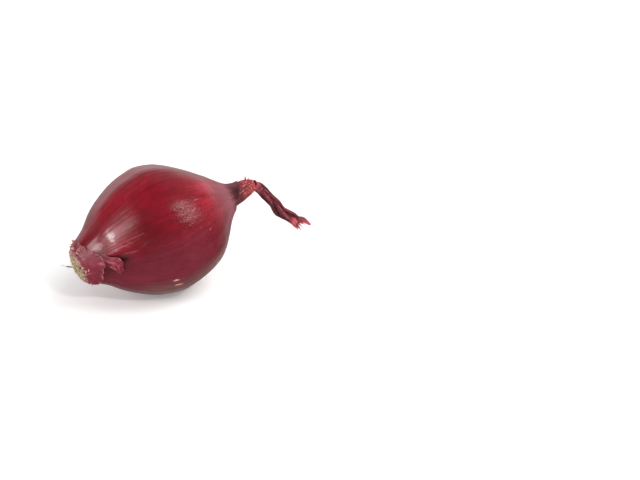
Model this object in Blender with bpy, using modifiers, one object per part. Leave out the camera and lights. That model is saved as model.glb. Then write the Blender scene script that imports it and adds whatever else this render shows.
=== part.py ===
"""A red onion lying on its side, in metres with +Z up.

The onion's axis runs from its root end to its neck. Every piece but the dry leaves is made along
its own +Z and hangs from one empty, which lays the bulb on a small flat spot at the origin.
A place on the skin is a station, the distance from the root end along the axis, and a turn, the
angle round the axis from the top towards the front.
"""

import math
import random

import bmesh
import bpy
from mathutils import Matrix, Vector

MM = 0.001

# The bulb
BULB_DIAMETER = 60 * MM
BULB_LENGTH = 80 * MM
AXIS_TILT = math.radians(12.5)
FLAT_DEPTH = 0.4 * MM
# Outline from the root end to the neck: share of the length, share of the largest radius
BULB_OUTLINE = (
    (0.000, 0.305),
    (0.038, 0.364),
    (0.100, 0.470),
    (0.175, 0.652),
    (0.250, 0.787),
    (0.338, 0.908),
    (0.425, 0.974),
    (0.500, 1.000),
    (0.588, 0.956),
    (0.675, 0.863),
    (0.763, 0.714),
    (0.838, 0.527),
    (0.900, 0.347),
    (0.950, 0.228),
    (1.000, 0.180),
)
OUTLINE_RINGS = 36
BULB_STEPS = 66

# Where the bulb is out of round: swell, station, reach along the axis, turn of its fuller side.
# The first is the full shoulder below and in front of the neck, the second the lean of the root end,
# and the third the fuller back of the bulb where its neck begins
SWELLS = (
    (1.9 * MM, 62 * MM, 11 * MM, math.radians(131)),
    (0.5 * MM, 13 * MM, 11 * MM, math.radians(-16)),
    (0.8 * MM, 70 * MM, 6 * MM, math.radians(-75)),
)

# Shallow ribs along the skin: how many round the bulb, height, phase
SKIN_RIBS = ((9, 0.16 * MM, 0.7), (16, 0.10 * MM, 2.1))
# Pleats that gather at the neck
NECK_PLEATS = 14
NECK_PLEAT_HEIGHT = 0.15 * MM
NECK_PLEAT_START = 0.84

# The neck's ragged lip, round a socket for the sheath
LIP_WALL = 0.85 * MM
LIP_TOOTH = 0.6 * MM
SOCKET_DEPTH = 1.8 * MM

# The root end's ragged rim, round a recess for the root plate
RIM_WALL = 0.75 * MM
RIM_TOOTH = 0.6 * MM
RECESS_DEPTH = 0.9 * MM
EDGE_ROUNDING = 0.2 * MM

# Uneven teeth of a torn edge: how many round it, share of the height, phase
TOOTH_WAVES = ((3.5, 0.4, 0.4), (8.5, 0.35, 1.1), (13.5, 0.25, 2.3))

# Every piece stands this far off its neighbour
GAP = 0.3 * MM

# The root plate, its cut root stubs and one long hair
PLATE_DOME = 2.5 * MM
PLATE_BUMP = 0.18 * MM
PLATE_STEPS = 40
PLATE_RINGS = 7
PLATE_SEED = 7
STUB_COUNT = 56
STUB_RADIUS = 0.62 * MM
STUB_TIP_RADIUS = 0.34 * MM
STUB_SIDES = 5
STUB_SUNK = 1.0 * MM
STUB_LENGTHS = (0.3 * MM, 1.1 * MM)
STUB_SPREAD = 0.86
STUB_LEAN = math.radians(38)
# How much the stubs vary: share of the lean, radians of turn and of heading, share of the radius
STUB_LEAN_SHARES = (0.5, 1)
STUB_TURN_SPREAD = 0.2
STUB_HEADING_SPREAD = 0.6
STUB_RADIUS_SHARES = (0.8, 1.1)
GOLDEN_ANGLE = math.pi * (3 - math.sqrt(5))
HAIR_RADIUS = 0.33 * MM
HAIR_TIP_SHARE = 0.92
HAIR_POINTS = 7
HAIR_START = (5.2 * MM, math.radians(235))
HAIR_SAG = 0.4 * MM
HAIR_LENGTH = 6.5 * MM
HAIR_HEADING = Vector((-0.85, 0.53, 0.15))

# The remnant of outer skin round the root end
SKIN_THICKNESS = 0.6 * MM
REMNANT_START = 1.0 * MM
# Its ragged edge: turn in degrees, station in millimetres
REMNANT_EDGE = (
    (-6, 2.0),
    (4, 2.4),
    (14, 1.9),
    (26, 3.1),
    (33, 3.0),
    (42, 4.8),
    (50, 5.4),
    (57, 6.8),
    (68, 7.6),
    (79, 7.2),
    (89, 5.8),
    (98, 6.1),
    (106, 5.2),
    (115, 5.0),
    (125, 3.9),
    (134, 3.4),
    (143, 2.2),
    (152, 2.0),
)
REMNANT_COLUMNS = 52
REMNANT_ROWS = 5
# The flap that curls off it, between its outer edge, which stands off the bulb, and its inner edge.
# Both run to its corner: station in millimetres, turn in degrees, lift in millimetres
FLAP_OUTER_EDGE = (
    (4.6, 52, 0.3),
    (7.2, 56, 0.35),
    (9.2, 62, 0.7),
    (10.8, 68, 1.0),
    (12.7, 70, 1.4),
    (13.7, 78.5, 1.6),
    (13.0, 88, 1.4),
    (11.9, 95.5, 1.0),
)
FLAP_INNER_EDGE = (
    (4.6, 76, 0.3),
    (6.4, 78, 0.35),
    (7.8, 80, 0.4),
    (8.9, 83, 0.5),
    (9.8, 86, 0.6),
    (10.6, 89, 0.7),
    (11.3, 92, 0.8),
    (11.8, 95, 0.9),
)
FLAP_ROWS = 18
FLAP_COLUMNS = 6
FLAP_CREST = 0.35 * MM

# The ribbed sheath at the neck: station and radius in millimetres
SHEATH_OUTLINE = (
    (78.6, 4.1),
    (80.8, 4.2),
    (82.2, 4.5),
    (84.0, 4.15),
    (86.0, 3.65),
    (87.4, 3.15),
    (88.6, 2.8),
)
# It bows towards the top: station and rise in millimetres
SHEATH_BOW = ((78.6, 0.0), (81.0, 0.1), (84.0, 0.5), (86.4, 0.6), (88.6, 0.4))
SHEATH_RINGS = 9
SHEATH_STEPS = 64
SHEATH_RIBS = 16
SHEATH_RIB_HEIGHT = 0.2 * MM
SHEATH_WALL = 0.7 * MM
SHEATH_CUP_DEPTH = 1.5 * MM
SHEATH_TOOTH = 0.6 * MM
SHEATH_SLANT = 0.8 * MM
SHEATH_RIB_RISE = 2 * MM
# Splinters that peel off it: station in millimetres, turn in degrees, length in millimetres, lean
SPLINTERS = (
    (84.0, 6, 2.6, 62),
    (87.2, 18, 1.9, 48),
    (87.6, 75, 1.7, 35),
    (86.4, 205, 2.0, 50),
    (83.4, 262, 1.8, 55),
)
SPLINTER_RADIUS = 0.42 * MM
SPLINTER_TIP_RADIUS = 0.3 * MM
SPLINTER_SUNK = 0.4 * MM

# The dry leaves: steps from the sheath's mouth in millimetres, share of the full section
LEAF_ROUTE = (
    ((-1.0, 0.0, -0.2), 0.50),
    ((0.8, 0.0, 0.15), 0.56),
    ((2.4, 0.3, -0.3), 0.94),
    ((4.2, 0.7, -2.7), 1.02),
    ((5.8, 1.1, -5.5), 1.00),
    ((8.2, 1.5, -8.9), 0.97),
    ((10.8, 1.8, -12.1), 1.02),
    ((13.4, 2.0, -14.9), 1.04),
    ((15.8, 2.1, -17.2), 0.92),
    ((18.1, 2.1, -19.3), 0.80),
    ((20.2, 2.0, -21.5), 0.74),
    ((22.0, 1.9, -23.5), 0.60),
)
LEAF_SECTION_RADIUS = 2.35 * MM
# Folds of the section: how many round it, share of the radius, phase
LEAF_FOLDS = ((3, 0.17, 0.4), (2, 0.12, 1.9), (5, 0.06, 0.2))
LEAF_SIDES = 18
LEAF_TWIST = math.radians(330)
# Frayed ends, each a route in millimetres from the sheath's mouth
FRAYED_ENDS = (
    ((17.4, 2.6, -17.6), (21.5, 3.2, -20.4), (25.6, 2.9, -22.6), (28.6, 2.4, -25.8), (31.3, 2.0, -29.0)),
    ((18.2, 1.6, -20.4), (20.6, 0.9, -24.0), (22.4, 1.0, -26.6), (23.9, 1.2, -29.0)),
    ((18.6, 1.9, -20.6), (21.6, 1.7, -24.2), (23.8, 2.0, -26.6), (25.4, 2.4, -28.4)),
    ((18.0, 1.4, -19.8), (20.0, -0.3, -23.0), (21.4, -0.8, -25.8), (22.5, -0.4, -28.0)),
    ((19.0, 2.3, -20.4), (22.8, 2.9, -23.2), (25.2, 3.3, -25.0), (26.6, 3.5, -26.8)),
)
FRAYED_RADIUS = 0.95 * MM
FRAYED_TIP_RADIUS = 0.34 * MM
FRAYED_POINTS = 7
TUBE_TAPER_POWER = 1.5

FLOOR_CUTTER_SIZE = 40 * MM
UNIT_GRID_HALF = 0.5
CONTACT_SAMPLES = 800
# Vertices nearer than this to a height or a radius count as lying on it
TOLERANCE = 0.01 * MM
WELD_DISTANCE = 0.001 * MM
SHARP_ANGLE = math.radians(40)

# sRGB colours of the pieces, with their roughness
FINISHES = {
    "bulb": ((0.45, 0.09, 0.15), 0.32),
    "root_plate": ((0.62, 0.53, 0.40), 0.85),
    "torn_outer_skin": ((0.52, 0.17, 0.22), 0.45),
    "neck_sheath": ((0.66, 0.25, 0.25), 0.60),
    "dry_leaf_tail": ((0.42, 0.13, 0.17), 0.65),
}


def smooth_value(points, x):
    """The value at x of a smooth curve through (x, value) points."""
    inner = range(1, len(points) - 1)
    slopes = [slope_between(points[0], points[1])]
    slopes += [slope_between(points[i - 1], points[i + 1]) for i in inner]
    slopes.append(slope_between(points[-2], points[-1]))
    last = len(points) - 2
    index = next((i for i in range(last) if x < points[i + 1][0]), last)
    (low, at_low), (high, at_high) = points[index], points[index + 1]
    width = high - low
    t = (x - low) / width
    rise = at_high - at_low
    start, end = slopes[index] * width, slopes[index + 1] * width
    return at_low + t * (start + t * (3 * rise - 2 * start - end + t * (start + end - 2 * rise)))


def slope_between(first, second):
    return (second[1] - first[1]) / (second[0] - first[0])


def outline_radius(station):
    share = min(max(station / BULB_LENGTH, 0), 1)
    return smooth_value(BULB_OUTLINE, share) * BULB_DIAMETER / 2


def skin_radius(station, turn):
    """Radius of the skin, with its fuller places, its ribs and the pleats at its neck."""
    share = min(max(station / BULB_LENGTH, 0), 1)
    radius = outline_radius(station)
    for swell, middle, reach, fuller_turn in SWELLS:
        nearness = math.exp(-(((station - middle) / reach) ** 2))
        radius += swell * nearness * math.cos(turn - fuller_turn)
    for count, height, phase in SKIN_RIBS:
        radius += height * math.sin(math.pi * share) * math.sin(count * turn + phase)
    gathered = max(share - NECK_PLEAT_START, 0) / (1 - NECK_PLEAT_START)
    return radius + NECK_PLEAT_HEIGHT * gathered * math.sin(NECK_PLEATS * turn)


def round_axis(radius, turn, station):
    """The point at a radius and a turn from the top, on the axis frame."""
    return Vector((-radius * math.cos(turn), -radius * math.sin(turn), station))


def turn_of(point):
    return math.atan2(-point.y, -point.x)


def skin_point(station, turn, lift=0.0):
    return round_axis(skin_radius(station, turn) + lift, turn, station)


def teeth(turn, height):
    """How far a torn edge stands out at a turn, from 0 to height, in uneven teeth."""
    return height * sum(share * abs(math.sin(count * turn + phase)) for count, share, phase in TOOTH_WAVES)


def clear_scene():
    for obj in list(bpy.data.objects):
        bpy.data.objects.remove(obj, do_unlink=True)


def make_collection(name):
    collection = bpy.data.collections.new(name)
    bpy.context.scene.collection.children.link(collection)
    return collection


def add_object(name, data, collection):
    obj = bpy.data.objects.new(name, data)
    collection.objects.link(obj)
    return obj


def evaluated_mesh(obj):
    graph = bpy.context.evaluated_depsgraph_get()
    return bpy.data.meshes.new_from_object(obj.evaluated_get(graph))


def take_evaluated(obj):
    """Applies an object's modifiers to its mesh."""
    mesh = evaluated_mesh(obj)
    obj.modifiers.clear()
    obj.data = mesh


def turned(name, profile, steps, collection):
    """A closed turned shape. The profile holds (radius, height) points from top to bottom."""
    mesh = bpy.data.meshes.new(name)
    points = [(radius, 0, height) for radius, height in profile]
    mesh.from_pydata(points, [(i, i + 1) for i in range(len(points) - 1)], [])
    obj = add_object(name, mesh, collection)
    screw = obj.modifiers.new("turn", "SCREW")
    screw.axis = "Z"
    screw.steps = steps
    screw.render_steps = steps
    screw.use_merge_vertices = True
    screw.merge_threshold = WELD_DISTANCE
    take_evaluated(obj)
    return obj


def cone_along(name, start, heading, length, radii, sides, collection):
    """A slim cone from start along heading, with its start and end radii."""
    mesh = bpy.data.meshes.new(name)
    form = bmesh.new()
    placed = Matrix.Translation(start + heading * (length / 2))
    placed @= heading.to_track_quat("Z", "Y").to_matrix().to_4x4()
    bmesh.ops.create_cone(
        form,
        cap_ends=True,
        segments=sides,
        radius1=radii[0],
        radius2=radii[1],
        depth=length,
        matrix=placed,
    )
    form.to_mesh(mesh)
    form.free()
    return add_object(name, mesh, collection)


def tapered_tube(name, points, radii, collection):
    """A round tube through the points, from the first radius to the second, as a mesh."""
    curve = bpy.data.curves.new(name, "CURVE")
    curve.dimensions = "3D"
    curve.bevel_depth = radii[0]
    curve.bevel_resolution = 1
    curve.use_fill_caps = True
    spline = curve.splines.new("POLY")
    spline.points.add(len(points) - 1)
    taper = radii[1] / radii[0]
    for i, point in enumerate(points):
        spline.points[i].co = (*point, 1)
        spline.points[i].radius = 1 + (taper - 1) * (i / (len(points) - 1)) ** TUBE_TAPER_POWER
    return curve_to_mesh(name, curve, collection)


def curve_to_mesh(name, curve, collection):
    """A mesh object of a curve, with the loose caps welded to its sides."""
    guide = add_object(name + "_route", curve, collection)
    bpy.context.view_layer.update()
    mesh = evaluated_mesh(guide)
    bpy.data.objects.remove(guide, do_unlink=True)
    form = bmesh.new()
    form.from_mesh(mesh)
    bmesh.ops.remove_doubles(form, verts=form.verts, dist=WELD_DISTANCE)
    bmesh.ops.recalc_face_normals(form, faces=form.faces)
    form.to_mesh(mesh)
    form.free()
    mesh.name = name
    return add_object(name, mesh, collection)


def unite(obj, repeats):
    """Joins the objects of a collection to obj as one solid, and removes them."""
    join = obj.modifiers.new("join", "BOOLEAN")
    join.operation = "UNION"
    join.operand_type = "COLLECTION"
    join.collection = repeats
    bpy.context.view_layer.update()
    take_evaluated(obj)
    for repeat in list(repeats.objects):
        bpy.data.objects.remove(repeat, do_unlink=True)
    bpy.data.collections.remove(repeats)


def route_points(waypoints, count):
    """Evenly counted points of a smooth curve through hand-placed waypoints."""
    spots = range(len(waypoints))
    tracks = [[(i, waypoints[i][axis]) for i in spots] for axis in range(len(waypoints[0]))]
    places = [i * (len(waypoints) - 1) / (count - 1) for i in range(count)]
    return [[smooth_value(track, place) for track in tracks] for place in places]


def make_bulb(collection):
    """The bulb: a turned body with a socket at its neck and a recess at its root end."""
    socket_floor = BULB_LENGTH - SOCKET_DEPTH
    socket = outline_radius(BULB_LENGTH) - LIP_WALL
    recess = outline_radius(0) - RIM_WALL
    profile = [(0, socket_floor), (socket, socket_floor), (socket, BULB_LENGTH - EDGE_ROUNDING)]
    profile.append((socket + EDGE_ROUNDING, BULB_LENGTH))
    for i in range(OUTLINE_RINGS + 1):
        station = BULB_LENGTH * (1 - i / OUTLINE_RINGS)
        profile.append((outline_radius(station), station))
    profile.append((recess + EDGE_ROUNDING, 0))
    profile += [(recess, EDGE_ROUNDING), (recess, RECESS_DEPTH), (0, RECESS_DEPTH)]
    bulb = turned("bulb", profile, BULB_STEPS, collection)
    for vertex in bulb.data.vertices:
        place = vertex.co
        turn = turn_of(place)
        radius = math.hypot(place.x, place.y)
        station = place.z
        if radius > outline_radius(station) - TOLERANCE:
            place = skin_point(station, turn)
        if station > BULB_LENGTH - TOLERANCE:
            place.z += teeth(turn, LIP_TOOTH)
        if station < TOLERANCE:
            place.z -= teeth(turn, RIM_TOOTH)
        vertex.co = place
    return bulb


def cut_flat_spot(bulb, cutters):
    """Takes the lowest sliver off the bulb, so that it rests on a small flat spot."""
    bpy.ops.mesh.primitive_cube_add(
        size=FLOOR_CUTTER_SIZE, location=(0, 0, -FLOOR_CUTTER_SIZE / 2)
    )
    cutter = bpy.context.object
    cutter.name = "floor_cutter"
    for owner in list(cutter.users_collection):
        owner.objects.unlink(cutter)
    cutters.objects.link(cutter)
    cutter.hide_render = True
    cutter.display_type = "WIRE"
    flat = bulb.modifiers.new("flat_spot", "BOOLEAN")
    flat.operation = "DIFFERENCE"
    flat.object = cutter


def make_root_plate(collection):
    """The root plate: a bumpy dome in the recess, with cut root stubs and a long hair."""
    random_draw = random.Random(PLATE_SEED)
    edge = outline_radius(0) - RIM_WALL - GAP
    inner_face = RECESS_DEPTH - GAP
    profile = [(0, inner_face), (edge - EDGE_ROUNDING, inner_face), (edge, inner_face - EDGE_ROUNDING)]
    for i in range(PLATE_RINGS + 1):
        angle = math.pi / 2 * i / PLATE_RINGS
        profile.append((edge * math.cos(angle), -GAP - (PLATE_DOME - GAP) * math.sin(angle)))
    plate = turned("root_plate", profile, PLATE_STEPS, collection)
    for vertex in plate.data.vertices:
        if vertex.co.z < -GAP:
            depth = (-vertex.co.z - GAP) / (PLATE_DOME - GAP)
            vertex.co.z -= PLATE_BUMP * depth * random_draw.random()
    stubs = make_collection("root_stubs")
    for i in range(STUB_COUNT):
        share = math.sqrt((i + 0.5) / STUB_COUNT)
        turn = i * GOLDEN_ANGLE + random_draw.uniform(-STUB_TURN_SPREAD, STUB_TURN_SPREAD)
        lean = STUB_LEAN * share * random_draw.uniform(*STUB_LEAN_SHARES)
        heading_turn = turn + random_draw.uniform(-STUB_HEADING_SPREAD, STUB_HEADING_SPREAD)
        heading = round_axis(math.sin(lean), heading_turn, -math.cos(lean))
        surface = -GAP - (PLATE_DOME - GAP) * math.sqrt(1 - (share * STUB_SPREAD) ** 2)
        start = round_axis(edge * STUB_SPREAD * share, turn, surface) - heading * STUB_SUNK
        length = STUB_SUNK + random_draw.uniform(*STUB_LENGTHS)
        radii = (STUB_RADIUS * random_draw.uniform(*STUB_RADIUS_SHARES), STUB_TIP_RADIUS)
        cone_along(f"root_stub_{i}", start, heading, length, radii, STUB_SIDES, stubs)
    to_axis_frame = axis_rotation().inverted()
    heading = (to_axis_frame @ HAIR_HEADING).normalized()
    start = round_axis(*HAIR_START, -PLATE_DOME + STUB_SUNK)
    bend = to_axis_frame @ Vector((0, 0, -HAIR_SAG))
    shares = [i / (HAIR_POINTS - 1) for i in range(HAIR_POINTS)]
    hair = [start + heading * (HAIR_LENGTH * t) + bend * math.sin(math.pi * t) for t in shares]
    tapered_tube("root_hair", hair, (HAIR_RADIUS, HAIR_RADIUS * HAIR_TIP_SHARE), stubs)
    unite(plate, stubs)
    return plate


def make_torn_outer_skin(collection):
    """The remnant of outer skin round the root end, and the flap that curls off it."""
    edge = [(math.radians(turn), station * MM) for turn, station in REMNANT_EDGE]
    first_turn, last_turn = edge[0][0], edge[-1][0]

    def remnant_point(across, along):
        turn = first_turn + (last_turn - first_turn) * across
        end = smooth_value(edge, turn)
        return skin_point(REMNANT_START + (end - REMNANT_START) * along, turn, GAP)

    outer, inner = (route_points(route, FLAP_ROWS + 1) for route in (FLAP_OUTER_EDGE, FLAP_INNER_EDGE))

    def flap_point(across, along):
        index = round(along * FLAP_ROWS)
        pairs = zip(inner[index], outer[index])
        station, turn, lift = (low + (high - low) * across for low, high in pairs)
        crest = FLAP_CREST * along * (1 - along) * 4 * math.sin(math.pi * across) ** 2
        return skin_point(station * MM, math.radians(turn), lift * MM + crest)

    remnant = sheet("torn_outer_skin", remnant_point, REMNANT_COLUMNS, REMNANT_ROWS, collection)
    flaps = make_collection("flaps")
    sheet("flap", flap_point, FLAP_COLUMNS, FLAP_ROWS, flaps)
    unite(remnant, flaps)
    return remnant


def sheet(name, point_at, columns, rows, collection):
    """A skin of even thickness over point_at(across, along), which run from 0 to 1."""
    mesh = bpy.data.meshes.new(name)
    form = bmesh.new()
    bmesh.ops.create_grid(form, x_segments=columns, y_segments=rows, size=UNIT_GRID_HALF)
    for vertex in form.verts:
        vertex.co = point_at(vertex.co.x + UNIT_GRID_HALF, vertex.co.y + UNIT_GRID_HALF)
    form.normal_update()
    form.faces.ensure_lookup_table()
    middle = form.faces[len(form.faces) // 2]
    centre = middle.calc_center_median()
    if middle.normal.dot(Vector((centre.x, centre.y, 0))) < 0:
        bmesh.ops.reverse_faces(form, faces=form.faces)
    form.to_mesh(mesh)
    form.free()
    obj = add_object(name, mesh, collection)
    thick = obj.modifiers.new("thickness", "SOLIDIFY")
    thick.thickness = SKIN_THICKNESS
    thick.offset = 1
    take_evaluated(obj)
    return obj


def make_neck_sheath(collection):
    """The ribbed sleeve at the neck, with a ragged mouth and splinters."""
    outline = [(station * MM, radius * MM) for station, radius in SHEATH_OUTLINE]
    bow = [(station * MM, rise * MM) for station, rise in SHEATH_BOW]
    base, mouth = outline[0][0], outline[-1][0]
    mouth_radius = outline[-1][1]
    cup = mouth_radius - SHEATH_WALL
    profile = [(0, mouth - SHEATH_CUP_DEPTH), (cup, mouth - SHEATH_CUP_DEPTH), (cup, mouth)]
    for i in range(SHEATH_RINGS + 1):
        station = mouth + (base - mouth) * i / SHEATH_RINGS
        profile.append((smooth_value(outline, station), station))
    profile.append((0, base))
    sheath = turned("neck_sheath", profile, SHEATH_STEPS, collection)
    for vertex in sheath.data.vertices:
        turn = turn_of(vertex.co)
        radius = math.hypot(vertex.co.x, vertex.co.y)
        station = vertex.co.z
        free = min(max((station - BULB_LENGTH) / SHEATH_RIB_RISE, 0), 1)
        if radius > cup + TOLERANCE:
            rib = SHEATH_RIB_HEIGHT * free * math.sin(SHEATH_RIBS * turn)
            vertex.co = round_axis(radius + rib, turn, station)
        if station > mouth - TOLERANCE:
            vertex.co.z += teeth(turn + 1, SHEATH_TOOTH) - SHEATH_SLANT * (1 - math.cos(turn)) / 2
        vertex.co += round_axis(smooth_value(bow, station), 0, 0)
    splinters = make_collection("splinters")
    for i, (station, turn, length, lean) in enumerate(SPLINTERS):
        place = station * MM
        around, tip_angle = math.radians(turn), math.radians(lean)
        heading = round_axis(math.sin(tip_angle), around, math.cos(tip_angle))
        start = round_axis(smooth_value(outline, place) - SPLINTER_SUNK, around, place)
        start += round_axis(smooth_value(bow, place), 0, 0)
        radii = (SPLINTER_RADIUS, SPLINTER_TIP_RADIUS)
        cone_along(f"splinter_{i}", start, heading, length * MM, radii, STUB_SIDES, splinters)
    unite(sheath, splinters)
    return sheath


def make_dry_leaf_tail(collection, guides):
    """The dry leaves: a folded, twisted bundle along a hanging route, frayed at its end."""
    section = bpy.data.curves.new("leaf_section", "CURVE")
    section.dimensions = "2D"
    ring = section.splines.new("POLY")
    ring.points.add(LEAF_SIDES - 1)
    ring.use_cyclic_u = True
    for i, point in enumerate(ring.points):
        angle = 2 * math.pi * i / LEAF_SIDES
        folds = sum(share * math.cos(count * angle + phase) for count, share, phase in LEAF_FOLDS)
        radius = LEAF_SECTION_RADIUS * (1 + folds)
        point.co = (radius * math.cos(angle), radius * math.sin(angle), 0, 1)
    section_guide = add_object("leaf_section", section, guides)
    section_guide.hide_render = True
    section_guide.display_type = "WIRE"
    waypoints = [(*(Vector(step) * MM), share) for step, share in LEAF_ROUTE]
    points = route_points(waypoints, 2 * len(LEAF_ROUTE) - 1)
    curve = bpy.data.curves.new("leaf_bundle", "CURVE")
    curve.dimensions = "3D"
    curve.bevel_mode = "OBJECT"
    curve.bevel_object = section_guide
    curve.use_fill_caps = True
    spline = curve.splines.new("POLY")
    spline.points.add(len(points) - 1)
    for i, (x, y, z, share) in enumerate(points):
        spline.points[i].co = (x, y, z, 1)
        spline.points[i].radius = share
        spline.points[i].tilt = LEAF_TWIST * i / (len(points) - 1)
    tail = curve_to_mesh("dry_leaf_tail", curve, collection)
    ends = make_collection("frayed_ends")
    for i, route in enumerate(FRAYED_ENDS):
        steps = route_points([tuple(Vector(point) * MM) for point in route], FRAYED_POINTS)
        tapered_tube(f"frayed_end_{i}", steps, (FRAYED_RADIUS, FRAYED_TIP_RADIUS), ends)
    unite(tail, ends)
    return tail


def axis_rotation():
    """Turns the axis frame's +Z to the way that the onion's axis points."""
    return Matrix.Rotation(math.pi / 2 - AXIS_TILT, 3, "Y")


def axis_origin():
    """Where the root end's centre lies, with the bulb's lowest point FLAT_DEPTH below zero."""
    stations = [BULB_LENGTH * i / CONTACT_SAMPLES for i in range(CONTACT_SAMPLES + 1)]
    drop = [outline_radius(s) * math.cos(AXIS_TILT) - s * math.sin(AXIS_TILT) for s in stations]
    lowest = max(range(len(stations)), key=drop.__getitem__)
    station = stations[lowest]
    contact = Vector((outline_radius(station), 0, station))
    return Vector((0, 0, -FLAT_DEPTH)) - axis_rotation() @ contact


def dress(obj):
    """Gives a piece its own material and smooth shading with its sharp edges kept."""
    colour, roughness = FINISHES[obj.name]
    material = bpy.data.materials.new(obj.name)
    material.use_nodes = True
    surface = material.node_tree.nodes["Principled BSDF"]
    linear = [((part + 0.055) / 1.055) ** 2.4 for part in colour]
    surface.inputs["Base Color"].default_value = (*linear, 1)
    surface.inputs["Roughness"].default_value = roughness
    surface.inputs["Metallic"].default_value = 0
    obj.data.materials.clear()
    obj.data.materials.append(material)
    obj.data.shade_smooth()
    obj.data.set_sharp_from_angle(angle=SHARP_ANGLE)


def build_onion():
    clear_scene()
    onion = make_collection("red_onion")
    guides = make_collection("cutters_and_guides")
    axis = add_object("onion_axis", None, onion)
    axis.location = axis_origin()
    axis.rotation_euler = axis_rotation().to_euler()
    bulb = make_bulb(onion)
    along_axis = [bulb, make_root_plate(onion), make_torn_outer_skin(onion), make_neck_sheath(onion)]
    for piece in along_axis:
        piece.parent = axis
    tail = make_dry_leaf_tail(onion, guides)
    mouth = round_axis(SHEATH_BOW[-1][1] * MM, 0, SHEATH_OUTLINE[-1][0] * MM)
    tail.location = axis_origin() + axis_rotation() @ mouth
    for piece in [*along_axis, tail]:
        dress(piece)
    cut_flat_spot(bulb, guides)


build_onion()
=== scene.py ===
"""Dresses a red onion that lies on its side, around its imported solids.

The onion's axis runs from its root end to its neck. A place on its skin is a station, the distance
from the root end along the axis, and a turn, the angle round the axis from the top towards the front.
Lengths are in metres and angles in radians, unless a name ends in _mm or _deg.
"""

import logging
import math
import random
from collections.abc import Iterator, Sequence
from contextlib import contextmanager
from dataclasses import dataclass, field
from enum import Enum
from functools import partial
from itertools import pairwise

import bpy
import numpy as np
from bpy.types import Material, Node, NodeSocket, NodeTree, Object
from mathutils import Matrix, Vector, noise


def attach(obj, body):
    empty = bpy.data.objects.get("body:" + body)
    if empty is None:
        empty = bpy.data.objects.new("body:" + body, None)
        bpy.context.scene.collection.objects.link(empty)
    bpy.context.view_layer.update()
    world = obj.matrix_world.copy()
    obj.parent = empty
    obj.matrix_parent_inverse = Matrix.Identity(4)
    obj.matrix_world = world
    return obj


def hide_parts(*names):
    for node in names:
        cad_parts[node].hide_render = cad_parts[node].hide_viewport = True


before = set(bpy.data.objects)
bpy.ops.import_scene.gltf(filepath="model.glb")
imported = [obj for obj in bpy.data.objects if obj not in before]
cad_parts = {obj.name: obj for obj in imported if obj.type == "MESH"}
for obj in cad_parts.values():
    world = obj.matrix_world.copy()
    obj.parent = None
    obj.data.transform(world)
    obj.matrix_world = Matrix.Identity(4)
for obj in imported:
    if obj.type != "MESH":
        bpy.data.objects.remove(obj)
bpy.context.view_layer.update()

MM = 0.001
WELD_DISTANCE = 0.002 * MM
SHARP_EDGE = math.radians(50)
CYLINDER_MM = 30
OUTLINE_SAMPLES = 801
BODY = "root"
LOG = logging.getLogger("red_onion")

Values = np.ndarray
Pair, Triple, Four = tuple[float, float], tuple[float, float, float], tuple[float, float, float, float]
Pairs, Triples, Fours = tuple[Pair, ...], tuple[Triple, ...], tuple[Four, ...]
Stops = tuple[tuple[float, str], ...]


class Slot(Enum):
    """The record's material slots."""

    BULB_SKIN = "bulb_skin"
    ROOT_PLATE = "root_plate"
    OUTER_SKIN = "outer_skin"
    NECK_SHEATH = "neck_sheath"
    DRY_LEAVES = "dry_leaves"


def smooth_values(points: Sequence[Pair], at: Values) -> Values:
    """Reads a smooth curve through given points.

    Args:
        points: (x, value) pairs in rising order of x.
        at: where to read the curve.

    Returns:
        The curve's value at each place.
    """
    xs, ys = np.array(points, float).T
    slopes = np.empty_like(ys)
    slopes[1:-1] = (ys[2:] - ys[:-2]) / (xs[2:] - xs[:-2])
    slopes[0] = (ys[1] - ys[0]) / (xs[1] - xs[0])
    slopes[-1] = (ys[-1] - ys[-2]) / (xs[-1] - xs[-2])
    index = np.clip(np.searchsorted(xs, at, side="right") - 1, 0, len(xs) - 2)
    width = xs[index + 1] - xs[index]
    t = (np.asarray(at) - xs[index]) / width
    rise = ys[index + 1] - ys[index]
    start, end = slopes[index] * width, slopes[index + 1] * width
    return ys[index] + t * (start + t * (3 * rise - 2 * start - end + t * (start + end - 2 * rise)))


def smooth_route(waypoints: Sequence[Sequence[float]], at: Values) -> Values:
    """Reads a smooth route through given waypoints.

    Args:
        waypoints: the points, or rows of numbers, that the route passes.
        at: shares of the route, from 0 to 1.

    Returns:
        One row for each share.
    """
    spots = np.asarray(at) * (len(waypoints) - 1)
    tracks = [
        smooth_values([(i, row[axis]) for i, row in enumerate(waypoints)], spots)
        for axis in range(len(waypoints[0]))
    ]
    return np.stack(tracks, -1)


def ease(values: Values, low: float, high: float) -> Values:
    """Rises smoothly from 0 at low to 1 at high, and falls where low is above high."""
    t = np.clip((np.asarray(values) - low) / (high - low), 0, 1)
    return t * t * (3 - 2 * t)


def cloud(places: Values, size: float, octaves: int = 2, seed: float = 0.0) -> Values:
    """Smooth random values from about -1 to 1 at places, which lie size apart where they differ."""
    shift = Vector((seed * 7.3, seed * 3.1, seed * 5.7))
    found = [
        noise.fractal(Vector(place) / size + shift, 0.7, 2.0, octaves) for place in np.asarray(places)
    ]
    return np.clip(np.array(found), -1, 1)


def select_only(*objects: Object) -> None:
    """Selects these objects alone, and makes the first one active."""
    bpy.ops.object.select_all(action="DESELECT")
    for obj in objects:
        obj.select_set(True)
    bpy.context.view_layer.objects.active = objects[0]


@contextmanager
def editing(obj: Object) -> Iterator[None]:
    """Opens one object in edit mode with all of it selected, and closes it again."""
    select_only(obj)
    bpy.ops.object.mode_set(mode="EDIT")
    bpy.ops.mesh.select_mode(type="VERT")
    bpy.ops.mesh.select_all(action="SELECT")
    yield
    bpy.ops.object.mode_set(mode="OBJECT")


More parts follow.
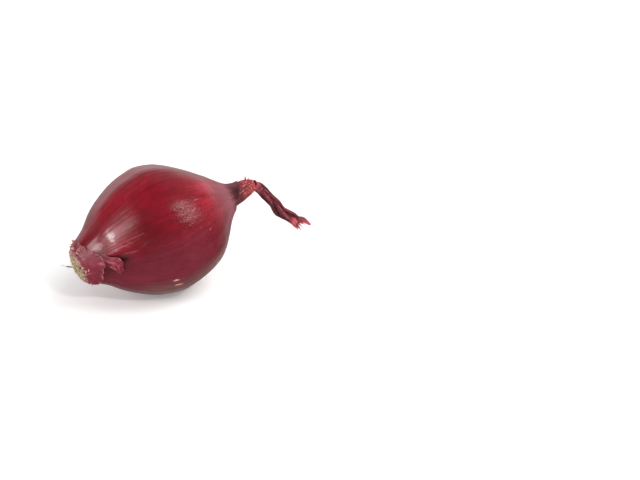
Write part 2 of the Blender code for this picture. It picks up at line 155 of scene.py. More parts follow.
def newest(name: str) -> Object:
    """Names the primitive that was just added, and puts its place into its mesh."""
    obj = bpy.context.object
    obj.name = obj.data.name = name
    bpy.ops.object.transform_apply(location=True, rotation=True, scale=True)
    return obj


def apply_modifier(obj: Object, kind: str, **settings: object) -> None:
    """Adds a modifier with its settings to an object, and applies it."""
    select_only(obj)
    modifier = obj.modifiers.new(kind.lower(), kind)
    for name, value in settings.items():
        setattr(modifier, name, value)
    bpy.ops.object.modifier_apply(modifier=modifier.name)


def joined(objects: Sequence[Object]) -> Object:
    """Joins objects into the first of them."""
    select_only(*objects)
    bpy.ops.object.join()
    return objects[0]


def places_of(obj: Object) -> Values:
    """The places of an object's vertices, one row each."""
    flat = np.empty(len(obj.data.vertices) * 3, np.float32)
    obj.data.vertices.foreach_get("co", flat)
    return flat.reshape(-1, 3).astype(float)


def move_to(obj: Object, places: Values) -> None:
    """Moves an object's vertices to new places."""
    obj.data.vertices.foreach_set("co", places.astype(np.float32).ravel())
    obj.data.update()


def store(obj: Object, **attributes: Values) -> None:
    """Keeps numbers or vectors at each vertex under their names, for the materials to read."""
    for name, values in attributes.items():
        kind, key = ("FLOAT", "value") if values.ndim == 1 else ("FLOAT_VECTOR", "vector")
        attribute = obj.data.attributes.new(name, kind, "POINT")
        attribute.data.foreach_set(key, values.astype(np.float32).ravel())


def weld(obj: Object, close: bool = True) -> None:
    """Merges what coincides in a mesh, closes its holes if asked, and turns its faces outwards."""
    with editing(obj):
        bpy.ops.mesh.remove_doubles(threshold=WELD_DISTANCE)
        if close:
            bpy.ops.mesh.fill_holes(sides=0)
        bpy.ops.mesh.normals_make_consistent(inside=False)


def placed_copy(model: Object, origin: Values, axes: Sequence[Values]) -> Object:
    """Copies a model to a place.

    Args:
        model: what to copy, about one unit long.
        origin: where its origin goes in the row frame.
        axes: what its x, y and z turn to, each as long as one unit of it gets.

    Returns:
        The copy, with its own mesh, in place.
    """
    copy = model.copy()
    copy.data = model.data.copy()
    bpy.context.scene.collection.objects.link(copy)
    move_to(copy, np.asarray(origin) + places_of(copy) @ np.array(axes))
    return copy


def turned_outwards(obj: Object) -> Object:
    """Turns an object's faces outwards."""
    with editing(obj):
        bpy.ops.mesh.normals_make_consistent(inside=False)
    return obj


def add_grid(name: str, across: int, along: int) -> tuple[Object, Values, Values]:
    """Adds a flat grid, to be bent to a shape.

    Args:
        name: the piece's name.
        across: how many faces it is wide.
        along: how many faces it is long.

    Returns:
        The grid, and each vertex's share of its width and of its length.
    """
    bpy.ops.object.select_all(action="DESELECT")
    bpy.ops.mesh.primitive_grid_add(
        x_subdivisions=across, y_subdivisions=along, size=1, location=(0.5, 0.5, 0)
    )
    obj = newest(name)
    spread = np.clip(places_of(obj), 0, 1)
    return obj, spread[:, 0], spread[:, 1]


def spin_profile(name: str, profile: Sequence[Pair], steps: int) -> Object:
    """Turns a profile round +Z, as on a lathe.

    Args:
        name: the piece's name.
        profile: (radius, height) points, which start and end on the axis.
        steps: how many sides the turned shape has.

    Returns:
        The turned shape, closed, with its faces outwards.
    """
    first = Vector((profile[0][0], 0, profile[0][1]))
    bpy.ops.object.select_all(action="DESELECT")
    bpy.ops.mesh.primitive_plane_add(size=MM, location=first)
    obj = newest(name)
    with editing(obj):
        bpy.ops.mesh.merge(type="CENTER")
        for (radius, height), (next_radius, next_height) in pairwise(profile):
            step = (next_radius - radius, 0, next_height - height)
            bpy.ops.mesh.extrude_vertices_move(TRANSFORM_OT_translate={"value": step})
        bpy.ops.mesh.select_all(action="SELECT")
        bpy.ops.mesh.spin(steps=steps, angle=2 * math.pi, center=(0, 0, 0), axis=(0, 0, 1))
        bpy.ops.mesh.select_all(action="SELECT")
        bpy.ops.mesh.remove_doubles(threshold=WELD_DISTANCE)
        bpy.ops.mesh.normals_make_consistent(inside=False)
    return obj


def sliced_cylinder(name: str, sides: int, heights: Sequence[float]) -> Object:
    """Adds an upright cylinder, one unit high and thick, that stands on the origin.

    Args:
        name: the piece's name.
        sides: how many sides it has.
        heights: where it is cut across, so that it can bend there.

    Returns:
        The cylinder.
    """
    bpy.ops.object.select_all(action="DESELECT")
    bpy.ops.mesh.primitive_cylinder_add(
        vertices=sides, radius=1, depth=1, end_fill_type="TRIFAN", location=(0, 0, 0.5)
    )
    obj = newest(name)
    with editing(obj):
        for height in heights:
            bpy.ops.mesh.select_all(action="SELECT")
            bpy.ops.mesh.bisect(plane_co=(0, 0, height), plane_no=(0, 0, 1))
    return obj


def round_axis(local: Values) -> tuple[Values, Values, Values]:
    """The radius, turn and station of places on a shape that was turned round +Z."""
    turn = np.arctan2(-local[:, 1], -local[:, 0])
    return np.hypot(local[:, 0], local[:, 1]), turn, local[:, 2]


@dataclass(frozen=True)
class BulbShape:
    """The form of the onion's skin, as a formula of station and turn.

    Attributes:
        diameter: the bulb's largest diameter.
        length: from the root end to the neck's lip.
        tilt: how much lower the root end lies than the neck.
        flat_depth: how deep the bulb settles on its flat spot.
        outline: share of the length and share of the largest radius, from the root end to the neck.
        swells: swell, station, reach and turn of the fuller side, where the bulb is out of round.
        ribs: how many shallow ribs round the bulb, their height and phase.
        pleats: how many pleats at the neck, their height and the share of the length they start at.
    """

    diameter: float = 60 * MM
    length: float = 80 * MM
    tilt: float = math.radians(12.5)
    flat_depth: float = 0.4 * MM
    outline: Pairs = (
        (0.000, 0.305), (0.038, 0.364), (0.100, 0.470), (0.175, 0.652), (0.250, 0.787),
        (0.338, 0.908), (0.425, 0.974), (0.500, 1.000), (0.588, 0.956), (0.675, 0.863),
        (0.763, 0.714), (0.838, 0.527), (0.900, 0.347), (0.950, 0.228), (1.000, 0.180),
    )
    swells: Fours = (
        (1.9 * MM, 62 * MM, 11 * MM, math.radians(131)),
        (0.5 * MM, 13 * MM, 11 * MM, math.radians(-16)),
        (0.8 * MM, 70 * MM, 6 * MM, math.radians(-75)),
    )
    ribs: tuple[tuple[int, float, float], ...] = ((9, 0.16 * MM, 0.7), (16, 0.10 * MM, 2.1))
    pleats: tuple[int, float, float] = (14, 0.15 * MM, 0.84)

    def outline_radius(self, station: Values) -> Values:
        """The round outline's radius at stations along the axis."""
        share = np.clip(np.asarray(station) / self.length, 0, 1)
        return smooth_values(self.outline, share) * self.diameter / 2

    def radius(self, station: Values, turn: Values) -> Values:
        """The skin's radius, with its fuller places, ribs and neck pleats."""
        share = np.clip(np.asarray(station) / self.length, 0, 1)
        radius = self.outline_radius(station)
        for swell, middle, reach, fuller_turn in self.swells:
            nearness = np.exp(-(((station - middle) / reach) ** 2))
            radius = radius + swell * nearness * np.cos(turn - fuller_turn)
        for count, height, phase in self.ribs:
            radius = radius + height * np.sin(math.pi * share) * np.sin(count * turn + phase)
        count, height, start = self.pleats
        gathered = np.clip(share - start, 0, 1) / (1 - start)
        return radius + height * gathered * np.sin(count * turn)

    @property
    def origin(self) -> Values:
        """Where the root end's centre lies in the row frame."""
        stations = np.linspace(0, self.length, OUTLINE_SAMPLES)
        drop = self.outline_radius(stations) * math.cos(self.tilt) - stations * math.sin(self.tilt)
        lowest = stations[drop.argmax()]
        contact = self.outline_radius(lowest)
        across = contact * math.sin(self.tilt) + lowest * math.cos(self.tilt)
        return np.array((-across, 0, drop.max() - self.flat_depth))

    def place(self, radius: Values, turn: Values, station: Values) -> Values:
        """Puts places round the axis into the row frame.

        Args:
            radius: distances from the axis.
            turn: angles round the axis, from the top towards the front.
            station: distances from the root end along the axis.

        Returns:
            One point in the row frame for each place.
        """
        along = np.array((math.cos(self.tilt), 0, math.sin(self.tilt)))
        upward = np.array((-math.sin(self.tilt), 0, math.cos(self.tilt)))
        frontward = np.array((0, -1, 0))
        radius, turn, station = np.broadcast_arrays(radius, turn, station)
        side = np.cos(turn)[..., None] * upward + np.sin(turn)[..., None] * frontward
        return self.origin + station[..., None] * along + radius[..., None] * side

    def direction(self, out: float, turn: float, ahead: float) -> Values:
        """The way in the row frame that leads out from the axis at a turn, and ahead along it."""
        return self.place(out, turn, ahead) - self.place(0.0, 0.0, 0.0)

    def skin(self, station: Values, turn: Values, lift: Values = 0.0) -> Values:
        """Points of the row frame on the skin, or at a height over it."""
        return self.place(self.radius(station, turn) + lift, turn, station)


@dataclass(kw_only=True)
class Piece:
    """A sub-assembly of the onion, which models its mesh and dresses it.

    A piece that is bent from a grid has that grid's faces as its sides or columns, and its rows.

    Attributes:
        finish: what it is made of.
        slot: the record's material slot; not used.
        replaces: the CAD nodes that it stands for.
    """

    finish: "Finish"
    slot: Slot
    replaces: tuple[str, ...] = ()

    def model(self) -> Object:
        """Models the piece's mesh in the row frame."""
        raise NotImplementedError

    def dress(self, obj: Object) -> None:
        """Gives the mesh its finish and its shading, and sets it on its body."""
        obj.data.materials.clear()
        obj.data.materials.append(self.finish.material())
        select_only(obj)
        bpy.ops.object.shade_smooth_by_angle(angle=SHARP_EDGE)
        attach(obj, BODY)
        if self.replaces:
            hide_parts(*self.replaces)

    def build(self) -> Object:
        """Models and dresses the piece."""
        obj = self.model()
        self.dress(obj)
        return obj


@dataclass
class SkinPiece(Piece):
    """A piece that follows the onion's skin.

    Attributes:
        shape: the form of the skin.
    """

    shape: BulbShape


@dataclass
class BulbSkin(SkinPiece):
    """The bulb in its glossy dry skin, from the root end to just inside the neck's cuff.

    Attributes:
        spin_steps: sides of the turned cage.
        cage_points: points of the cage's outline, from the neck to the root end.
        levels: how often the cage is subdivided.
        neck_end: the station where the skin ends, under the cuff.
        neck_tuck: where the skin starts to dive under the cuff, and how deep it gets.
        vein_count: raised veins round the bulb, which run from end to end.
        vein_height: how far they stand out.
        dents: size and depth of the soft unevenness.
        inset: how far all of it lies inside the plain form.
        recess: how much smaller than its rim the hollow behind the root plate is, and how deep.
        step_line: station_mm, turn_deg and height_mm of the top skin's lifted edge.
        step_wave: how far that edge waves, and the length of its quick and its slow waves.
        step_fade: how far behind it the skin sinks back.
        step_width: how wide its slope is.
        crease_line: station_mm, turn_deg and depth_mm of the crease under the front.
        crease_width, split_depth, scratch_width: of the marks that they are named for.
        splits: station_mm, turn_deg, half length_mm, half width_mm of the open splits.
        scratches: station_mm and turn_deg of both ends of the pale scratches.
        flushes_and_shades: station_mm, turn_deg, reach_mm and amount of places with a stronger or darker
            colour; the small dark ones by the flap paint shade in the crevice under its edge and in the
            notch below it.
    """

    spin_steps: int = 40
    cage_points: int = 22
    levels: int = 3
    neck_end: float = 77 * MM
    neck_tuck: Triple = (70.5 * MM, 72.5 * MM, 0.4 * MM)
    vein_count: int = 58
    vein_height: float = 0.05 * MM
    dents: Pairs = ((11 * MM, 0.16 * MM), (3.5 * MM, 0.035 * MM))
    inset: float = 0.05 * MM
    recess: Pair = (0.8 * MM, 0.9 * MM)
    step_line: Triples = (
        (5.0, 60.0, 0.0), (9.0, 64.0, 0.28), (13.0, 69.5, 0.48), (15.0, 69.2, 0.42),
        (17.0, 69.5, 0.24), (19.4, 70.0, 0.12), (22.0, 69.6, 0.06), (25.0, 66.5, 0.02),
        (30.0, 64.0, 0.0), (40.0, 66.0, 0.0),
    )
    step_width: float = 0.3 * MM
    step_wave: Triple = (0.25 * MM, 1.3 * MM, 2.9 * MM)
    step_fade: float = 4.5 * MM
    crease_line: Triples = (
        (6.0, 114.0, 0.0), (10.0, 118.0, 0.08), (13.0, 120.5, 0.12), (20.0, 114.5, 0.10),
        (26.0, 116.0, 0.12), (32.0, 118.0, 0.10), (37.0, 120.0, 0.0),
    )
    crease_width: float = 0.3 * MM
    splits: Fours = (
        (33.2, 114.3, 1.5, 0.45),
        (34.2, 122.4, 1.9, 0.50),
    )
    split_depth: float = 0.3 * MM
    scratches: Fours = (
        (10.0, 34.0, 15.6, 42.0), (8.5, 47.0, 20.0, 47.5), (9.5, 51.5, 24.0, 52.5),
        (11.0, 56.0, 26.0, 56.0), (12.0, 60.0, 24.0, 59.0), (16.0, 58.5, 19.0, 63.5),
        (18.0, 56.0, 20.5, 61.5), (11.0, 4.0, 15.5, 3.0), (53.0, 47.0, 57.0, 48.0),
    )
    scratch_width: float = 0.18 * MM
    flushes_and_shades: Fours = (
        (60.0, 45.0, 8.5, 0.40), (33.0, 44.0, 8.0, 0.15), (28.5, 60.0, 8.0, -0.42),
        # Painted shade: (15.4, 74.5) and (12.4, 73.0) darken the crevice between the flap and the lifted
        # edge, and (8.6, 93.0) the notch under the flap.
        (15.4, 74.5, 1.7, -0.60), (12.4, 73.0, 1.8, -0.50), (8.6, 93.0, 2.4, -0.3),
        (62.0, 100.0, 11.0, -0.20),
    )

    def model(self) -> Object:
        """Turns the cage, smooths it and shapes it to the skin.

        Returns:
            The mesh.
        """
        bulb = spin_profile("bulb_skin", self.profile(), self.spin_steps)
        apply_modifier(bulb, "SUBSURF", levels=self.levels, render_levels=self.levels)
        self.shape_skin(bulb)
        return bulb

    def profile(self) -> list[Pair]:
        """The cage's outline, from the neck's pole down the skin to the root end's pole."""
        stations = np.linspace(self.neck_end, 0, self.cage_points)
        radii = self.shape.outline_radius(stations)
        narrowing, depth = self.recess
        recess = radii[-1] - narrowing
        points = [(0.0, self.neck_end + 0.2 * MM), (radii[0] / 2, self.neck_end + 0.2 * MM)]
        points += list(zip(radii, stations))
        points += [(recess, 0.1 * MM), (recess - 0.2 * MM, depth), (recess / 2, depth), (0.0, depth)]
        return [(float(radius), float(station)) for radius, station in points]

    def shape_skin(self, bulb: Object) -> None:
        """Moves the cage's vertices onto the skin, and keeps what the material reads."""
        radius, turn, station = round_axis(places_of(bulb))
        outline = self.shape.outline_radius(station)
        outside = ease(radius, outline - 0.6 * MM, outline - 0.35 * MM)
        skin = self.shape.radius(station, turn) + self.relief(station, turn)
        radius = radius + (skin - radius) * outside
        places = self.shape.place(radius, turn, station)
        places[:, 2] = np.maximum(places[:, 2], 0)
        move_to(bulb, places)
        store(bulb, round=round_places(turn, station), **self.marks(station, turn))

    def relief(self, station: Values, turn: Values) -> Values:
        """How far all the forms of the bulb's skin stand out from its plain form."""
        low, high, depth = self.neck_tuck
        relief = self.fine_relief(station, turn) - depth * ease(station, low, high)
        relief = relief + self.step(station, turn) - self.crease(station, turn)
        return relief - self.split_depth * self.split_share(station, turn)

    def fine_relief(self, station: Values, turn: Values) -> Values:
        """How far the veins and the soft unevenness stand out from the plain form."""
        share = np.clip(station / self.shape.length, 0, 1)
        flat = round_places(turn, station) * MM
        wander = cloud(flat * (1, 1, 0.4), 16 * MM, 2, seed=1)
        vein = (0.5 + 0.5 * np.cos(self.vein_count * turn + 2.2 * wander)) ** 3
        relief = self.vein_height * vein * np.sin(math.pi * share) ** 0.5 - self.vein_height - self.inset
        for i, (size, depth) in enumerate(self.dents):
            relief = relief - depth * (0.5 + 0.5 * cloud(flat, size, 2, seed=2 + i))
        return relief

    def beside(self, line: Triples, station: Values, turn: Values) -> tuple[Values, Values, Values]:
        """Measures places against a line on the skin.

        Args:
            line: its station_mm, turn_deg and height_mm.
            station: the stations of the places.
            turn: their turns.

        Returns:
            How far below the line they lie, the height of the line beside them, which is 0 past its
            ends, and their stations, held between its ends.
        """
        turns = [(s * MM, math.radians(t)) for s, t, _ in line]
        heights = [(s * MM, h * MM) for s, _, h in line]
        first, last = turns[0][0], turns[-1][0]
        held = np.clip(station, first, last)
        below = (turn - smooth_values(turns, held)) * self.shape.outline_radius(station)
        inside = (station > first) & (station < last)
        return below, inside * np.maximum(smooth_values(heights, held), 0), held

    def step(self, station: Values, turn: Values) -> Values:
        """The top skin's lifted edge: how high it stands over the skin below it."""
        below, height, held = self.beside(self.step_line, station, turn)
        reach, quick, slow = self.step_wave
        above = -(below + reach * np.sin(held / quick) * np.sin(held / slow))
        return height * ease(above, 0.0, self.step_width) * np.exp(-np.clip(above, 0, None) / self.step_fade)

    def crease(self, station: Values, turn: Values) -> Values:
        """The depth of the crease under the front."""
        below, depth, _ = self.beside(self.crease_line, station, turn)
        return depth * np.exp(-((below / self.crease_width) ** 2))

    def split_share(self, station: Values, turn: Values) -> Values:
        """1 in the middle of the open splits, and 0 outside them."""
        share = np.zeros_like(station)
        for middle, middle_turn, half_length, half_width in self.splits:
            along = (station - middle * MM) / (half_length * MM)
            off = (turn - math.radians(middle_turn)) * self.shape.outline_radius(station)
            across = (off - 0.25 * MM * along**2) / (half_width * MM)
            share = np.maximum(share, ease(1 - np.hypot(along, across), 0.0, 0.35))
        return share

    def marks(self, station: Values, turn: Values) -> dict[str, Values]:
        """Shares from 0 to 1 that the material reads: bared and dull skin, brown neck, pale flesh, the
        painted highlight on the lifted edge and scratches, a greyish underside, and the flushes, partly
        painted shade.
        """
        off, _, _ = self.beside(self.step_line, station, turn)
        crisp = ease(off, -0.15 * MM, 0.25 * MM)
        soft = ease(off, -2 * MM, 9 * MM)
        softness = ease(station, 15 * MM, 24 * MM)
        around = ease(turn, math.radians(-170), math.radians(-120))
        under = np.maximum(crisp * (1 - softness) + soft * softness, 1 - around)
        bared = under * ease(station, 66 * MM, 44 * MM)
        # Painted highlight: a pale line in dashes along the lifted edge's lip, joined below by the pale
        # scratches.
        lip = np.exp(-(((off + 0.2 * MM) / (0.2 * MM)) ** 2))
        lip = lip * ease(station, 11 * MM, 14 * MM) * ease(station, 28 * MM, 22 * MM)
        lip = lip * ease(np.sin(station / self.step_wave[1]), -1.4, 0.6)
        lip = np.maximum(lip, self.scratch_share(station, turn))
        split = self.split_share(station, turn)
        rougher = 0.16 * ease(station, 9 * MM, 14 * MM)
        dry = np.maximum(np.maximum(0.5 * bared, rougher), ease(station, 60 * MM, 74 * MM))
        # Flushes of stronger and darker colour, with painted shade by the flap among them.
        flush_and_shade = self.flush_and_shade(station, turn)
        brown = 0.5 + 0.5 * ease(np.cos(turn - math.radians(80)), 0.2, 0.9)
        # A greyish brown band along the underside, between stations 14 and 68 mm.
        greyish_underside = 0.75 * ease(np.cos(turn - math.pi), 0.3, 0.65) * ease(station, 14 * MM, 26 * MM)
        greyish_underside = greyish_underside * ease(station, 68 * MM, 52 * MM)
        marks = {"bared": bared, "pale": split, "lip": lip, "dry": dry, "flush_and_shade": flush_and_shade}
        return marks | {"brown": brown, "greyish_underside": greyish_underside}

    def scratch_share(self, station: Values, turn: Values) -> Values:
        """1 on the pale scratches, and 0 beside them."""
        share = np.zeros_like(station)
        radius = self.shape.outline_radius(station)
        for start, start_turn, end, end_turn in self.scratches:
            along = np.clip((station / MM - start) / (end - start), 0, 1)
            nearest_turn = np.radians(start_turn + (end_turn - start_turn) * along)
            over = station - (start + (end - start) * along) * MM
            distance = np.hypot((turn - nearest_turn) * radius, over)
            share = np.maximum(share, np.exp(-((distance / self.scratch_width) ** 2)) * (1 - 0.5 * along))
        return share

    def flush_and_shade(self, station: Values, turn: Values) -> Values:
        """How much stronger than elsewhere the skin's colour is, or weaker where it is below 0; the weaker
        places by the flap are painted shade.
        """
        total = np.zeros_like(station)
        for middle, middle_turn, reach, amount in self.flushes_and_shades:
            off = (turn - math.radians(middle_turn)) * self.shape.outline_radius(station)
            distance = np.hypot(station - middle * MM, off) / (reach * MM)
            total = total + amount * np.exp(-(distance**2))
        return total


def on_cylinder(radius: float, turn: Values, height: Values) -> Values:
    """Places on a cylinder, for patterns that run round a piece and along it."""
    return np.stack((radius * np.cos(turn), radius * np.sin(turn), height), -1)


def round_places(turn: Values, station: Values) -> Values:
    """Places for patterns that run along the onion, in millimetres on a cylinder as wide as it is.

    A pattern on them narrows towards both ends, as the veins of the skin do.
    """
    return on_cylinder(CYLINDER_MM, turn, station / MM)


def teeth(turn: Values, height: float, coarse: float = 1.0) -> Values:
    """How far a torn edge stands out at each turn, from 0 to height, in uneven teeth."""
    wave = 0.4 * np.abs(np.sin(coarse * (3.5 * turn + 0.4)))
    wave += 0.35 * np.abs(np.sin(coarse * (8.5 * turn + 1.1)))
    wave += 0.25 * np.abs(np.sin(coarse * (13.5 * turn + 2.3)))
    return height * wave


@dataclass
class NeckCuff(Piece):
    """The end of the bulb's skin at the neck, torn slantwise round the sheath.

    Attributes:
        skin: the bulb's skin, which the cuff grows out of.
        start: the station where the cuff leaves the skin.
        torn_edge: turn_deg and station_mm of the torn edge.
        tooth: how far its teeth stand out.
        pleats: how many pleats gather in it, and their height.
        thickness: of the dry skin.
    """

    skin: BulbSkin
    start: float = 69 * MM
    torn_edge: Pairs = (
        (0, 82.0), (36, 80.8), (60, 79.3), (90, 77.4), (110, 75.6), (150, 76.0), (210, 77.6),
        (270, 79.4), (330, 81.6), (360, 82.0),
    )
    tooth: float = 0.5 * MM
    pleats: tuple[int, float] = (23, 0.13 * MM)
    thickness: float = 0.2 * MM
    sides: int = 240
    rows: int = 44

    def model(self) -> Object:
        """Rolls a grid round the neck and gives it its thickness.

        Returns:
            The mesh.
        """
        cuff, across, along = add_grid("neck_cuff", self.sides, self.rows)
        turn = 2 * math.pi * across
        edge = smooth_values([(t, s * MM) for t, s in self.torn_edge], np.degrees(turn))
        edge = edge - self.tooth + teeth(turn, 2 * self.tooth)
        station = self.start + (edge - self.start) * along
        count, height = self.pleats
        shape = self.skin.shape
        flat = round_places(turn, station) * MM
        wander = cloud(flat, 9 * MM, 2, seed=8)
        lift = self.skin.fine_relief(station, turn) - 0.3 * MM * ease(along, 0.16, 0.0)
        lift = lift + height * ease(along, 0.2, 0.8) * np.sin(count * turn + 2 * wander)
        lift = lift + ease(along, 0.86, 1.0) * (0.12 * MM + 0.12 * MM * wander)
        move_to(cuff, shape.skin(station, turn, lift))
        marks = self.skin.marks(station, turn)
        kept = {name: marks[name] for name in ("dry", "brown", "flush_and_shade")}
        store(cuff, round=round_places(turn, station), torn=ease(along, 0.955, 1.0), **kept)
        weld(cuff, close=False)
        apply_modifier(cuff, "SOLIDIFY", thickness=self.thickness, offset=-1)
        return cuff


@dataclass
class RootCollar(SkinPiece):
    """A ragged ring of torn skins round the root plate.

    Attributes:
        name: the piece's name.
        start: the station where the ring leaves the skin.
        end: the station that its shortest tooth reaches.
        tooth: how far its teeth stand out past that.
        lean: how far its edge leans in over the root plate.
        hood: how much further its upper side reaches, and leans in.
        fuller_turn: where that side is, back from the top.
        lift: how far it stands off the skin under it.
        seed: shifts its waves, so that two rings differ.
        thickness: of the dry skin.
    """

    name: str
    start: float = 3.2 * MM
    end: float = -0.4 * MM
    tooth: float = 1.2 * MM
    lean: float = 1.35 * MM
    hood: Pair = (0.9 * MM, 1.0 * MM)
    fuller_turn: float = math.radians(-8)
    lift: float = 0.12 * MM
    seed: float = 3.0
    thickness: float = 0.16 * MM
    sides: int = 260
    rows: int = 22

    def model(self) -> Object:
        """Rolls a grid round the root end and gives it its thickness.

        Returns:
            The mesh.
        """
        ring, across, along = add_grid(self.name, self.sides, self.rows)
        turn = 2 * math.pi * across
        wave = cloud(on_cylinder(1, turn, along * 0.4), 0.35, 3, seed=self.seed)
        upper = ease(np.cos(turn + self.fuller_turn), 0.15, 0.95)
        edge = self.end - teeth(turn + self.seed, self.tooth) - self.hood[0] * upper
        station = self.start + (edge - self.start) * along
        curl = ease(along, 0.35, 1.0)
        lift = -0.3 * MM * ease(along, 0.25, 0.0) + self.lift * ease(along, 0.0, 0.5)
        lean = self.lean + self.hood[1] * upper
        lift = lift + curl * (0.35 * MM * wave - lean * ease(station, 0.8 * MM, -1.6 * MM))
        move_to(ring, self.shape.skin(station, turn, lift))
        store(ring, round=round_places(turn, station), torn=ease(along, 0.72, 1.0))
        weld(ring, close=False)
        apply_modifier(ring, "SOLIDIFY", thickness=self.thickness, offset=-1)
        return ring


@dataclass
class RootPlate(SkinPiece):
    """The fibrous root plate: a pitted dome, covered in the stubs of its cut roots.

    Attributes:
        radius: of the dome at its edge.
        bulge: how far its middle stands out from the root end.
        inner: how deep it sits inside the root end.
        pit_size: the distance between pits.
        pit_depth: how deep they are.
        bumps: the distance between its bumps, and their height.
        stub_count: how many root stubs.
        stub_radius: the least and the most.
        stub_length: the least and the most that stands out.
        stub_sunk: how much of a stub is sunk in the dome.
        stub_lean: how far the outermost ones lean.
        dome_faces: faces round and along the sphere that the dome is cut from.
        seed: of what varies from stub to stub.
    """

    radius: float = 8.3 * MM
    bulge: float = 2.35 * MM
    inner: float = 0.6 * MM
    pit_size: float = 1.5 * MM
    pit_depth: float = 0.75 * MM
    bumps: Pair = (0.8 * MM, 0.18 * MM)
    stub_count: int = 230
    stub_radius: Pair = (0.22 * MM, 0.42 * MM)
    stub_length: Pair = (0.2 * MM, 0.95 * MM)
    stub_sunk: float = 0.8 * MM
    stub_lean: float = math.radians(50)
    dome_faces: tuple[int, int] = (128, 80)
    seed: int = 11

    def model(self) -> Object:
        """Makes the dome from a cut sphere, and plants the stubs on it.

        Returns:
            The mesh.
        """
        dome = self.dome()
        stub = self.stub()
        draw = random.Random(self.seed)
        golden_angle = math.pi * (3 - math.sqrt(5))
        stubs = []
        for i in range(self.stub_count):
            share = math.sqrt((i + 0.5) / self.stub_count) * 0.98
            turn = i * golden_angle + draw.uniform(-0.12, 0.12)
            stubs.append(self.plant(stub, share, turn, draw))
        bpy.data.objects.remove(stub)
        return joined([dome, *stubs])

    def height_at(self, share: Values) -> Values:
        """The dome's station at a share of its radius."""
        return -self.bulge * np.sqrt(np.clip(1 - np.asarray(share) ** 2, 0, 1))

    def dome(self) -> Object:
        """Cuts a sphere to a dome, flattens it and presses pits into it."""
        bpy.ops.object.select_all(action="DESELECT")
        around, rings = self.dome_faces
        bpy.ops.mesh.primitive_uv_sphere_add(segments=around, ring_count=rings, radius=self.radius)
        dome = newest("root_plate_mat")
        with editing(dome):
            bpy.ops.mesh.bisect(
                plane_co=(0, 0, self.inner), plane_no=(0, 0, 1), use_fill=True, clear_outer=True
            )
        local = places_of(dome)
        flatness = self.bulge / self.radius
        radius, turn, height = round_axis(local)
        station = np.where(height < 0, height * flatness, height)
        pits = ease(cloud(local, self.pit_size, 2, seed=5), 0.0, 0.4)
        bump_size, bump_height = self.bumps
        bumps = cloud(local, bump_size, 2, seed=6)
        outside = ease(height, 0.0, -1.0 * MM)
        station = station + outside * (self.pit_depth * pits + bump_height * bumps)
        move_to(dome, self.shape.place(radius, turn, station))
        # Painted shade: the pits are painted near black.
        store(dome, pit=pits * outside, tip=np.zeros_like(pits))
        return dome

    def stub(self) -> Object:
        """Models one root stub, one radius thick and one length long, standing on the origin."""
        stub = sliced_cylinder("root_stub", 7, (0.35, 0.7))
        wide, deep, high = places_of(stub).T
        thin = (1 - 0.5 * high**1.5) * (1 + 0.25 * np.sin(3 * np.arctan2(deep, wide)) * high)
        ends = high > 0.99
        hollow = ends & (np.hypot(wide, deep) < 0.1)
        top = high - 0.12 * hollow + 0.05 * ends * np.sin(5 * wide)
        move_to(stub, np.stack((wide * thin + 0.5 * high**2, deep * thin, top), -1))
        # Painted shade: dark in the hollow of the cut end and towards the foot, among the other stubs.
        store(stub, pit=0.9 * hollow + 0.95 * ease(high, 0.95, 0.5), tip=high)
        return stub

    def plant(self, stub: Object, share: float, turn: float, draw: random.Random) -> Object:
        """Copies the stub to one place on the dome.

        Args:
            stub: the stub to copy.
            share: how far out on the dome, from 0 to 1.
            turn: the angle round the axis.
            draw: the seeded source of what varies.

        Returns:
            The copy, with its own mesh, in place.
        """
        lean = self.stub_lean * share * draw.uniform(0.3, 1.1)
        heading_turn = turn + draw.uniform(-0.7, 0.7)
        heading = Vector(self.shape.direction(math.sin(lean), heading_turn, -math.cos(lean))).normalized()
        root = Vector(self.shape.place(self.radius * share, turn, float(self.height_at(share))))
        radius = draw.uniform(*self.stub_radius)
        covered = max(math.cos(turn), 0) * share**2
        stands_out = draw.uniform(*self.stub_length) * (1 - 0.35 * share) * (1 - 0.9 * covered)
        length = self.stub_sunk + stands_out
        across = heading.orthogonal().normalized()
        spin = draw.uniform(0, 2 * math.pi)
        first = across * math.cos(spin) + heading.cross(across) * math.sin(spin)
        second = heading.cross(first)
        start = root - heading * self.stub_sunk
        return placed_copy(stub, start, (first * radius, second * radius, heading * length))


